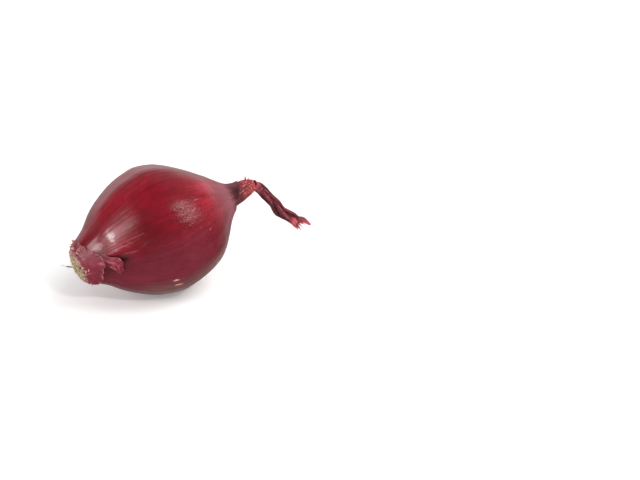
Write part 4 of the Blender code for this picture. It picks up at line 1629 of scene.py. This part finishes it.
@dataclass(frozen=True)
class GlossySkin(Finish):
    """Dry red onion skin: a thin glossy scale, grown in one sheet with veins from end to end.

    It gives the eye deep crimson with dark streaks along the veins, and highlights that its fine
    pebbled cells break up. Where the top scale is gone it is duller and browner.

    Attributes:
        vein_mm: the distance between fine veins at the widest place.
        streak_mm: the width of the darker streaks.
        band_mm: the width of the broad changes of colour.
        mottle_mm: the width of its mottling.
        pebble_mm: the size of the pebbled cells, coarser than real ones so that they show.
        shares: how much the bands, streaks, veins and mottling tell in its tone.
        tone_range: the sums of them that are its darkest and its palest tone.
        vivid, dull: its colours where the top scale covers it, and where it is bared.
        bloom_mm, dried_mm: the stations between which the neck gets its bloom and dries.
        marks: names, colours and strengths of its greyish underside, the painted highlight along the lifted
            edge and scratches, its pale torn edges and open splits.
        speck_mm: the distance between its pale specks.
        speck_sizes: their edge and their core, as shares of that distance.
        relief: how deep the fine relief is.
        pebbled_mm: the stations between which the pebbled cells rise, and pebble_shares how far.
        vein_relief: how far the veins stand out beside them.
        roughness, dry_roughness: where it is glossy, and where it is dry.
        gloss: how strongly it mirrors.
    """

    vein_mm: float = 0.6
    streak_mm: float = 1.6
    band_mm: float = 15.0
    mottle_mm: float = 3.4
    pebble_mm: float = 0.8
    shares: tuple[float, ...] = (0.36, 0.20, 0.22, 0.22)
    tone_range: Pair = (0.27, 0.73)
    vivid: Stops = (
        (0.0, "#3A040C"), (0.15, "#580814"), (0.45, "#6C0B18"), (0.7, "#820F20"), (1.0, "#AA2036"),
    )
    dull: Stops = ((0.0, "#30040C"), (0.15, "#4C0C18"), (0.5, "#6A1524"), (1.0, "#802234"))
    bloom_mm: Pair = (66, 76)
    dried_mm: Pair = (76, 80.5)
    marks: tuple[tuple[str, str, float], ...] = (
        # The second mark is a painted highlight along the lifted edge, over the pale scratches.
        ("greyish_underside", "#6E4A46", 1.0), ("lip", "#C47A84", 0.4), ("torn", "#8C4A48", 0.5),
        ("pale", "#EDB9AE", 1.0),
    )
    speck_mm: float = 7.0
    speck_sizes: Pair = (0.055, 0.03)
    relief: float = 0.27 * MM
    pebbled_mm: Pair = (16, 38)
    pebble_shares: Pair = (0.12, 0.62)
    vein_relief: float = 0.35
    roughness: float = 0.19
    dry_roughness: float = 0.6
    gloss: float = 0.27

    def fill(self, tree: NodeTree) -> dict[str, object]:
        """Adds the skin's colours, its veins and its pebbled relief."""
        add = partial(add_node, tree)
        around = add("Attribute", {"attribute_name": "round"})
        places = object_places_mm(tree)
        veins = grain(tree, around, self.vein_mm, 26)
        streaks = grain(tree, around, self.streak_mm, 9, 3)
        bands = grain(tree, around, self.band_mm, 2.2, 2)
        mottle = grain(tree, places, self.mottle_mm, 1, 3)
        pebbles = grain(tree, places, self.pebble_mm, 1, 3)
        tone = self.tone(tree, (bands, streaks, veins, mottle))
        vivid = add("ValToRGB", inputs={0: tone}, stops=self.vivid)
        dull = add("ValToRGB", inputs={0: tone}, stops=self.dull)
        skin = add("Mix", COLOUR_MIX, {0: "bared", MIX_UNDER: vivid, MIX_OVER: dull})
        skin = self.neck_browned(tree, around, streaks, skin)
        skin = self.specked(tree, places, self.marked(tree, skin))
        rough = add("MapRange", SMOOTH, {0: "dry", "To Min": self.roughness, "To Max": self.dry_roughness})
        station_mm = add("SeparateXYZ", inputs={0: around.outputs["Vector"]}).outputs[2]
        (start, end), (least, most) = self.pebbled_mm, self.pebble_shares
        rise = {0: station_mm, "From Min": start, "From Max": end, "To Min": least, "To Max": most}
        pebbled = add("MapRange", SMOOTH, rise)
        veined = add("Math", TIMES, {0: veins, 1: self.vein_relief})
        heights = add("Math", TIMES_PLUS, {0: pebbles, 1: pebbled, 2: veined})
        bump = add("Bump", inputs={"Strength": 1.0, "Distance": self.relief, "Height": heights})
        return {"Base Color": skin, "Roughness": rough, "Normal": bump, "Specular IOR Level": self.gloss}

    def tone(self, tree: NodeTree, layers: Sequence[Node]) -> Node:
        """Adds up layers of grain by their shares, spreads the sum from 0 to 1, and adds the flushes, of
        which the dark ones by the flap are painted shade.
        """
        total = 0.0
        for layer, share in zip(layers, self.shares):
            total = add_node(tree, "Math", TIMES_PLUS, {0: layer, 1: share, 2: total})
        low, high = self.tone_range
        spread = {"Value": total, "From Min": low, "From Max": high, "To Min": 0.15}
        # Below 0.15 the tone falls only where a flush is below 0: the darkest stops paint the shade in the
        # crevice and the notch by the flap, and the darker places of the skin.
        return add_node(tree, "Math", PLUS, {0: add_node(tree, "MapRange", {}, spread), 1: "flush_and_shade"})

    def neck_browned(self, tree: NodeTree, around: Node, streaks: Node, skin: Node) -> Node:
        """Lays a dusty mauve bloom before the neck, and the dark brown of its dried end over it."""
        add = partial(add_node, tree)
        wandering = wandering_station(tree, around, streaks, 6.0)
        start, end = self.bloom_mm
        bloom = add("MapRange", SMOOTH, {0: wandering, "From Min": start, "From Max": end, "To Max": 0.52})
        skin = add("Mix", COLOUR_MIX, {0: bloom, MIX_UNDER: skin, MIX_OVER: "#9C6A72"})
        start, end = self.dried_mm
        dried = add("MapRange", SMOOTH, {0: wandering, "From Min": start, "From Max": end})
        brown = add("Math", TIMES, {0: dried, 1: "brown"})
        return add("Mix", COLOUR_MIX, {0: brown, MIX_UNDER: skin, MIX_OVER: "#420F18"})

    def marked(self, tree: NodeTree, skin: Node) -> Node:
        """Adds the greyish underside, the painted highlight along the lifted edge and scratches, the pale
        torn edges and the open splits.
        """
        for name, colour, most in self.marks:
            share = add_node(tree, "Math", TIMES, {0: name, 1: most})
            skin = add_node(tree, "Mix", COLOUR_MIX, {0: share, MIX_UNDER: skin, MIX_OVER: colour})
        return skin

    def specked(self, tree: NodeTree, places: Node, skin: Node) -> Node:
        """Adds a few small pale specks, of which about one place in four has one."""
        add = partial(add_node, tree)
        dots = add("TexVoronoi", inputs={"Vector": places, "Scale": 1 / self.speck_mm})
        edge, core = self.speck_sizes
        distance = {0: dots.outputs["Distance"], "From Min": edge, "From Max": core}
        near = add("MapRange", SMOOTH, distance)
        chance = add("SeparateColor", inputs={0: dots.outputs["Color"]})
        chosen = add("Math", {"operation": "GREATER_THAN"}, {0: chance, 1: 0.72})
        speck = add("Math", TIMES, {0: near, 1: chosen})
        speck = add("Math", TIMES, {0: speck, 1: 0.6})
        return add("Mix", COLOUR_MIX, {0: speck, MIX_UNDER: skin, MIX_OVER: "#C58A8E"})


@dataclass(frozen=True)
class PaperySkin(Finish):
    """Torn, weathered outer scale: thin as paper, dusty rose maroon, paler where it has torn, and painted
    paler on its raised folds and crests as a painted highlight.

    Attributes:
        vein_mm: the distance between its veins at the widest place.
        mottle_mm, dust_mm: the width of its mottling and of the dust on it.
        deep, dusty, worn_and_lit, edge: its colours, from the darkest to the torn edges; the third is both
            its palest tone and the painted highlight on its folds and crests.
        relief: how deep the fine relief is.
    """

    vein_mm: float = 1.6
    mottle_mm: float = 2.2
    dust_mm: float = 0.5
    deep: str = "#641424"
    dusty: str = "#7E2232"
    worn_and_lit: str = "#A24452"
    edge: str = "#D9A49C"
    relief: float = 0.06 * MM

    def fill(self, tree: NodeTree) -> dict[str, object]:
        """Adds its colours, veins and crumpled relief."""
        add = partial(add_node, tree)
        around = add("Attribute", {"attribute_name": "round"})
        places = object_places_mm(tree)
        veins = grain(tree, around, self.vein_mm, 10)
        mottle = grain(tree, places, self.mottle_mm, 1, 3)
        dust = grain(tree, places, self.dust_mm, 1, 2)
        tone = add("Mix", NUMBER_MIX, {0: 0.72, FIRST: veins, SECOND: mottle})
        # Painted highlight: the raised folds and crests are pushed towards the palest colour.
        tone = add("Math", PLUS, {0: tone, 1: add("Math", TIMES, {0: "fold", 1: 0.32})})
        tone = add("MapRange", {}, {0: tone, "From Min": 0.33, "From Max": 0.85})
        colours = ((0.0, self.deep), (0.4, self.dusty), (1.0, self.worn_and_lit))
        skin = add("ValToRGB", inputs={0: tone}, stops=colours)
        patchy = add("MapRange", SMOOTH, {0: mottle, "From Min": 0.35, "From Max": 0.6})
        pale = add("Math", TIMES, {0: "torn", 1: patchy})
        skin = add("Mix", COLOUR_MIX, {0: pale, MIX_UNDER: skin, MIX_OVER: self.edge})
        heights = add("Mix", NUMBER_MIX, {0: 0.5, FIRST: veins, SECOND: dust})
        bump = add("Bump", inputs={"Distance": self.relief, "Height": heights})
        return {"Base Color": skin, "Normal": bump, "Roughness": 0.5, "Specular IOR Level": 0.3}


@dataclass(frozen=True)
class RootFibre(Finish):
    """Dried root fibre: dull tan and straw, with pale cut tips, and near black painted shade in the pits and
    at the stubs' feet.

    Attributes:
        fibre_mm, clump_mm: the width of its fibres and of the clumps they lie in.
        straw: its colours, from the shaded fibres to the bleached ones.
        relief: how deep the fine relief is.
    """

    fibre_mm: float = 0.45
    clump_mm: float = 1.8
    straw: Stops = ((0.3, "#86623F"), (0.45, "#C2A478"), (0.58, "#E0CDA8"), (0.7, "#F2E7CF"))
    relief: float = 0.08 * MM

    def fill(self, tree: NodeTree) -> dict[str, object]:
        """Adds its mottled straw colours, dark pits and pale tips."""
        add = partial(add_node, tree)
        places = object_places_mm(tree)
        fine = grain(tree, places, self.fibre_mm, 1, 2)
        coarse = grain(tree, places, self.clump_mm, 1, 2)
        tone = add("Mix", NUMBER_MIX, {0: 0.55, FIRST: fine, SECOND: coarse})
        straw = add("ValToRGB", inputs={0: tone}, stops=self.straw)
        pale = add("MapRange", SMOOTH, {0: "tip", "From Min": 0.5, "To Max": 0.45})
        straw = add("Mix", COLOUR_MIX, {0: pale, MIX_UNDER: straw, MIX_OVER: "#E9DFC6"})
        # Painted shade: near black in the pits, at the stubs' feet and in the hollows of their cut ends, and
        # the long hair's dark colour with it.
        colour = add("Mix", COLOUR_MIX, {0: "pit", MIX_UNDER: straw, MIX_OVER: "#3A2418"})
        bump = add("Bump", inputs={"Distance": self.relief, "Height": fine})
        return {"Base Color": colour, "Normal": bump, "Roughness": 0.85}


@dataclass(frozen=True)
class RibbedLeafBase(Finish):
    """Dried leaf bases: papery, with salmon ribs over dark red furrows, paler at the torn mouth.

    Attributes:
        fibre_mm, mottle_mm: the width of its fibres and of its mottling.
        colours: from the furrows to the crests of the ribs.
        browned_mm: the stations from the mouth to where the brown of the neck is full.
        relief: how deep the fine relief is.
    """

    fibre_mm: float = 1.2
    mottle_mm: float = 0.9
    colours: Stops = ((0.25, "#661420"), (0.42, "#9E2C38"), (0.58, "#C85252"), (0.78, "#F4AC92"))
    browned_mm: Pair = (86.5, 81.5)
    relief: float = 0.08 * MM

    def fill(self, tree: NodeTree) -> dict[str, object]:
        """Adds its ribs, furrows and fine lengthwise fibres."""
        add = partial(add_node, tree)
        around = add("Attribute", {"attribute_name": "round"})
        places = object_places_mm(tree)
        fibres = grain(tree, around, self.fibre_mm, 2, 3)
        mottle = grain(tree, places, self.mottle_mm, 1, 2)
        tone = add("Mix", NUMBER_MIX, {0: 0.45, FIRST: "ridge", SECOND: fibres})
        tone = add("Mix", NUMBER_MIX, {0: 0.25, FIRST: tone, SECOND: mottle})
        skin = add("ValToRGB", inputs={0: tone}, stops=self.colours)
        pale = add("Math", TIMES, {0: "torn", 1: 0.5})
        skin = add("Mix", COLOUR_MIX, {0: pale, MIX_UNDER: skin, MIX_OVER: "#C8606A"})
        wandering = wandering_station(tree, around, fibres, 4.0)
        start, end = self.browned_mm
        brown = add("MapRange", SMOOTH, {0: wandering, "From Min": start, "From Max": end, "To Max": 0.8})
        skin = add("Mix", COLOUR_MIX, {0: brown, MIX_UNDER: skin, MIX_OVER: "#4A1A22"})
        bump = add("Bump", inputs={"Distance": self.relief, "Height": fibres})
        return {"Base Color": skin, "Normal": bump, "Roughness": 0.6}


@dataclass(frozen=True)
class DryLeaf(Finish):
    """Dried and twisted leaves: dark maroon, painted near black deep in the folds as painted shade and
    lighter red on their edges as painted highlight, pale at the tips.

    Attributes:
        fibre_mm, mottle_mm: the width of its fibres and of its mottling.
        colours: from the painted shade deep in the folds to the painted highlight on their edges.
        relief: how deep the fine relief is.
    """

    fibre_mm: float = 0.5
    mottle_mm: float = 1.6
    colours: Stops = ((0.32, "#16040A"), (0.46, "#430C18"), (0.6, "#741B29"), (0.82, "#C45E6A"))
    relief: float = 0.1 * MM

    def fill(self, tree: NodeTree) -> dict[str, object]:
        """Adds its folds' colours, its lengthwise fibres and its pale ends."""
        add = partial(add_node, tree)
        strand = add("Attribute", {"attribute_name": "strand"})
        fibres = grain(tree, strand, self.fibre_mm, 7, 3)
        mottle = grain(tree, object_places_mm(tree), self.mottle_mm, 1, 2)
        # ridge is low in the folds and high on their edges: painted shade and painted highlight.
        tone = add("Mix", NUMBER_MIX, {0: 0.4, FIRST: "ridge", SECOND: fibres})
        tone = add("Mix", NUMBER_MIX, {0: 0.3, FIRST: tone, SECOND: mottle})
        skin = add("ValToRGB", inputs={0: tone}, stops=self.colours)
        patchy = add("MapRange", SMOOTH, {0: mottle, "From Min": 0.15, "From Max": 0.6})
        pale = add("Math", TIMES, {0: "torn", 1: patchy})
        skin = add("Mix", COLOUR_MIX, {0: pale, MIX_UNDER: skin, MIX_OVER: "#CC565E"})
        bump = add("Bump", inputs={"Distance": self.relief, "Height": fibres})
        return {"Base Color": skin, "Normal": bump, "Roughness": 0.55}


@dataclass(frozen=True)
class MattWhite(Finish):
    """Matt white acrylic of a light table: an even pale ground that lightens the shadows on it.

    Attributes:
        glow: how much light comes up through it.
        cloud_mm: the width of its faint clouding.
    """

    glow: float = 0.24
    cloud_mm: float = 60.0

    def fill(self, tree: NodeTree) -> dict[str, object]:
        """Adds its white."""
        tone = grain(tree, object_places_mm(tree), self.cloud_mm, 1, 2)
        white = add_node(tree, "ValToRGB", inputs={0: tone}, stops=((0.0, "#F4F3F2"), (1.0, "#F8F8F8")))
        lit = {"Base Color": white, "Emission Color": white, "Emission Strength": self.glow}
        return lit | {"Roughness": 0.9, "Specular IOR Level": 0.1}


@dataclass
class Studio:
    """A pale floor, a camera at the photograph's angle, and soft lights.

    Attributes:
        camera_place: where the camera stands.
        camera_azimuth, camera_elevation: the way it looks from.
        lens_mm, sensor_mm: its focal length and the width of its sensor.
        clip: the nearest and the furthest that it sees.
        subject: what the lights point at.
        floor_radius, floor_sides: of the round floor.
        right_reflectors, left_reflectors: the ways to the small reflectors, which only gloss shows.
        sky: shares of the way from below to overhead, and the room's colour there.
        sky_strengths: how bright the room is on the camera's side and on the far side.
        backdrop: the way to the far side.
    """

    camera_place: Triple = (-0.277316, -0.664369, 0.388622)
    camera_azimuth: float = math.radians(-28.45)
    camera_elevation: float = math.radians(27.0)
    lens_mm: float = 100.0
    sensor_mm: float = 36.0
    clip: Pair = (0.02, 20.0)
    subject: Triple = (0.0, 0.0, 0.03)
    floor_radius: float = 5.0
    floor_sides: int = 96
    right_reflectors: Triples = ((0.57, -0.47, 0.67), (0.59, -0.50, 0.63), (0.60, -0.53, 0.60))
    left_reflectors: Triples = ((-0.953, -0.05, 0.295), (-0.956, -0.08, 0.28), (-0.957, -0.11, 0.265))
    sky: Stops = (
        (0.0, "#A0A0A0"), (0.45, "#AAAAAA"), (0.52, "#FFFFFF"), (0.59, "#F0F0F0"),
        (0.72, "#A0A0A0"), (0.90, "#C4C4C4"), (0.96, "#8C8C8C"), (1.0, "#585858"),
    )
    sky_strengths: Pair = (0.7, 1.5)
    backdrop: Triple = (0.4764, 0.8792, 0.0)

    def build(self) -> None:
        """Lays the floor, and sets the camera, the lights and the sky."""
        self.floor()
        self.camera()
        self.softbox("right_softbox", (0.46, -0.34, 0.82), 1.5, (1.1, 1.1), 12.5, mirrored=False)
        for i, direction in enumerate(self.right_reflectors):
            self.softbox(f"right_reflector_{i}", direction, 1.5, (0.1, 0.1), 1.6, lights_floor=False)
        self.softbox("right_sheen", (0.61, -0.48, 0.61), 1.5, (0.34, 1.1), 5.0, lights_floor=False)
        self.softbox("front_lamp", (0.08, -0.76, 0.65), 1.6, (0.08, 0.08), 6.0, mirrored=False)
        self.softbox("left_softbox", (-0.885, -0.01, 0.465), 1.4, (0.24, 0.24), 4.0, mirrored=False)
        self.softbox("left_strip", (-0.85, -0.07, 0.52), 1.4, (0.26, 0.9), 4.5, lights_floor=False)
        self.softbox("left_sheen", (-0.88, -0.24, 0.40), 1.4, (0.7, 0.7), 8.0, lights_floor=False)
        for i, direction in enumerate(self.left_reflectors):
            self.softbox(f"left_reflector_{i}", direction, 1.4, (0.08, 0.08), 6.0, lights_floor=False)
        self.softbox("front_fill", (-0.1, -0.35, 0.93), 2.2, (2.6, 2.6), 13.0, mirrored=False)
        self.light_sky()

    def floor(self) -> None:
        """Lays a round matt white floor, which isn't part of the onion."""
        bpy.ops.object.select_all(action="DESELECT")
        bpy.ops.mesh.primitive_circle_add(
            vertices=self.floor_sides, radius=self.floor_radius, fill_type="NGON"
        )
        floor = newest("studio_floor")
        floor.data.materials.append(MattWhite("matt_white_acrylic").material())
        floor.visible_glossy = False

    def camera(self) -> None:
        """Sets the camera where the photograph was taken from."""
        bpy.ops.object.camera_add(
            location=self.camera_place,
            rotation=(math.pi / 2 - self.camera_elevation, 0, self.camera_azimuth),
        )
        camera = bpy.context.object
        camera.data.lens = self.lens_mm
        camera.data.sensor_width = self.sensor_mm
        camera.data.dof.use_dof = False
        camera.data.clip_start, camera.data.clip_end = self.clip
        bpy.context.scene.camera = camera
        bpy.context.scene.view_settings.view_transform = "Standard"

    def softbox(
        self,
        name: str,
        direction: Sequence[float],
        distance: float,
        size: Pair,
        watts: float,
        mirrored: bool = True,
        lights_floor: bool = True,
    ) -> None:
        """Hangs one soft light that points at the subject.

        Args:
            name: the light's name.
            direction: the way to it from the subject.
            distance: how far off it hangs.
            size: its width and its height.
            watts: its power.
            mirrored: whether glossy skin mirrors it.
            lights_floor: whether it lights matt things, such as the floor.
        """
        toward = Vector(direction).normalized()
        bpy.ops.object.light_add(
            type="AREA",
            location=Vector(self.subject) + toward * distance,
            rotation=toward.to_track_quat("Z", "Y").to_euler(),
        )
        light = bpy.context.object
        light.name = name
        light.data.shape = "ELLIPSE"
        light.data.size, light.data.size_y = size
        light.data.energy = watts
        light.visible_glossy = mirrored
        light.visible_diffuse = lights_floor

    def light_sky(self) -> None:
        """Lights the room: white near the horizon, and dimmer overhead."""
        world = bpy.data.worlds.new("studio_room")
        bpy.context.scene.world = world
        world.use_nodes = True
        tree = world.node_tree
        tree.nodes.clear()
        coordinates = add_node(tree, "TexCoord")
        towards = add_node(tree, "Normal", inputs={0: coordinates.outputs["Generated"]})
        towards.outputs["Normal"].default_value = self.backdrop
        height = add_node(tree, "SeparateXYZ", inputs={0: coordinates.outputs["Generated"]}).outputs[2]
        share = add_node(tree, "MapRange", {}, {0: height, "From Min": -1.0, "From Max": 1.0})
        sky = add_node(tree, "ValToRGB", inputs={0: share}, stops=self.sky)
        near, far = self.sky_strengths
        rise = {0: towards.outputs["Dot"], "From Max": 0.9, "To Min": near, "To Max": far}
        strength = add_node(tree, "MapRange", SMOOTH, rise)
        background = add_node(tree, "Background", inputs={"Color": sky, "Strength": strength})
        add_node(tree, "OutputWorld", inputs={"Surface": background})


UPPER_ROUTE_MM = (
    (-1.4, 0.3, 0.1, 0.9), (1.4, 0.2, -0.1, 1.10), (2.8, 0.4, -0.7, 1.20), (4.4, 0.5, -2.0, 1.20),
    (6.6, 0.8, -4.2, 1.05), (8.8, 1.4, -7.1, 1.00), (12.1, 1.8, -10.8, 0.95),
    (14.7, 2.2, -14.0, 0.95), (16.8, 2.3, -17.2, 0.95), (19.5, 2.0, -19.4, 1.10),
    (21.8, 1.8, -21.2, 1.00), (24.7, 2.0, -23.8, 0.80), (27.2, 2.1, -25.2, 0.55),
    (29.0, 2.0, -26.9, 0.40), (30.5, 1.8, -28.5, 0.14),
)

LOWER_ROUTE_MM = (
    (-1.4, -0.3, -0.5, 0.9), (0.4, -0.5, -0.7, 1.20), (2.2, 0.5, -2.6, 1.45),
    (4.3, 1.0, -4.8, 1.50), (6.0, 1.1, -7.2, 1.40), (8.1, 1.5, -9.8, 1.25),
    (10.1, 2.1, -12.6, 1.10), (12.1, 2.7, -15.6, 0.80), (13.9, 2.9, -17.8, 0.15),
)

LOBE_ROUTE_MM = (
    (7.9, 2.1, -7.6, 0.25), (9.4, 2.0, -9.7, 0.80), (10.8, 1.7, -12.3, 1.40),
    (12.0, 1.5, -14.9, 1.80), (13.6, 1.5, -17.5, 1.80), (16.1, 1.6, -20.0, 1.55),
    (18.6, 1.8, -22.0, 1.45), (21.0, 1.7, -24.1, 1.60), (22.6, 1.5, -25.6, 1.20),
)

FRAYED_ROUTES_MM = (
    ((20.6, 1.8, -23.8), (21.8, 1.4, -25.8), (22.9, 1.4, -27.6), (23.8, 1.6, -29.2)),
    ((21.0, 1.6, -24.0), (22.6, 1.3, -26.0), (24.2, 1.4, -28.0), (25.4, 1.6, -29.9)),
    ((21.6, 1.4, -24.2), (23.8, 1.3, -25.9), (25.6, 1.6, -27.6), (27.1, 1.6, -29.3)),
    ((22.3, 1.8, -24.2), (24.6, 1.8, -25.4), (26.6, 1.9, -26.7), (28.2, 1.9, -28.0)),
    ((21.7, 1.5, -23.4), (24.3, 1.6, -24.3), (26.8, 1.7, -25.7), (28.9, 1.7, -27.3), (30.6, 1.8, -28.7)),
    ((24.9, 2.1, -23.7), (26.9, 2.0, -24.3), (28.6, 1.8, -25.8), (29.9, 1.8, -27.4), (30.8, 1.7, -28.2)),
    ((20.2, 2.1, -23.6), (20.9, 1.5, -25.2), (21.7, 1.4, -26.6), (22.3, 1.4, -27.7)),
)


def leaf_strands(mouth: Values, leaf: Finish) -> list[LeafStrand]:
    """The strands of leaves that wind round each other: the upper, the lower and the one between."""
    rows = (
        ("upper", UPPER_ROUTE_MM, ((3, 0.20, 0.4), (7, -0.08, 1.3)), 170, 31.0, ("dry_leaf_tail",)),
        ("lower", LOWER_ROUTE_MM, ((3, 0.22, 1.1), (7, -0.09, 0.2)), 80, 47.0, ()),
        ("middle", LOBE_ROUTE_MM, ((2, 0.16, 2.0), (9, -0.08, 0.6)), -110, 53.0, ()),
    )
    dried = {"finish": leaf, "slot": Slot.DRY_LEAVES}
    return [
        LeafStrand(
            f"{side}_leaf_strand", mouth, route, folds, math.radians(twist), seed, replaces=cad, **dried
        )
        for side, route, folds, twist, seed, cad in rows
    ]


def pieces() -> list[Piece]:
    """Every piece of the onion in its order of making."""
    shape = BulbShape()
    mouth = shape.place(0.4 * MM, 0.0, 88.6 * MM)
    glossy = {"finish": GlossySkin("dry_red_onion_skin"), "slot": Slot.BULB_SKIN}
    papery = {"finish": PaperySkin("torn_papery_skin"), "slot": Slot.OUTER_SKIN}
    flap = PaperySkin("curled_papery_skin", deep="#420618", dusty="#721528", worn_and_lit="#B23C52", edge="#DC8A96")
    ragged = PaperySkin("root_rim_skin", worn_and_lit="#B8606A", edge="#E4B8AC")
    rim = {"finish": ragged, "slot": Slot.OUTER_SKIN}
    fibre = {"finish": RootFibre("dried_root_fibre"), "slot": Slot.ROOT_PLATE}
    leaf = DryLeaf("dried_onion_leaf")
    sleeve = {"finish": RibbedLeafBase("dried_leaf_base"), "slot": Slot.NECK_SHEATH}
    skin = BulbSkin(shape, replaces=("bulb",), **glossy)
    return [
        skin,
        NeckCuff(skin, **glossy),
        RootCollar(shape, "root_collar", **papery),
        RootCollar(
            shape, "inner_root_collar", start=2.0 * MM, lift=-0.1 * MM, lean=1.75 * MM, seed=6.0, **rim
        ),
        RimFlakes(shape, **rim),
        RootPlate(shape, replaces=("root_plate",), **fibre),
        RootHairs(shape, **fibre),
        TornSkin(shape, replaces=("torn_outer_skin",), **papery),
        CurledFlap(shape, finish=flap, slot=Slot.OUTER_SKIN),
        RibbedSheath(shape, replaces=("neck_sheath",), **sleeve),
        *leaf_strands(mouth, leaf),
        LeafCollar(mouth, finish=leaf, slot=Slot.DRY_LEAVES),
        FrayedEnds(mouth, FRAYED_ROUTES_MM, finish=leaf, slot=Slot.DRY_LEAVES),
    ]


def write_sizes() -> None:
    """Updates the view layer."""
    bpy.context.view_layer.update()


def main() -> None:
    """Builds the studio and the onion's pieces in order, and reports each one."""
    logging.basicConfig(level=logging.INFO, format="%(message)s")
    Studio().build()
    for piece in pieces():
        obj = piece.build()
        LOG.info("%s: %d faces", obj.name, len(obj.data.polygons))
    write_sizes()


if __name__ == "__main__":
    main()
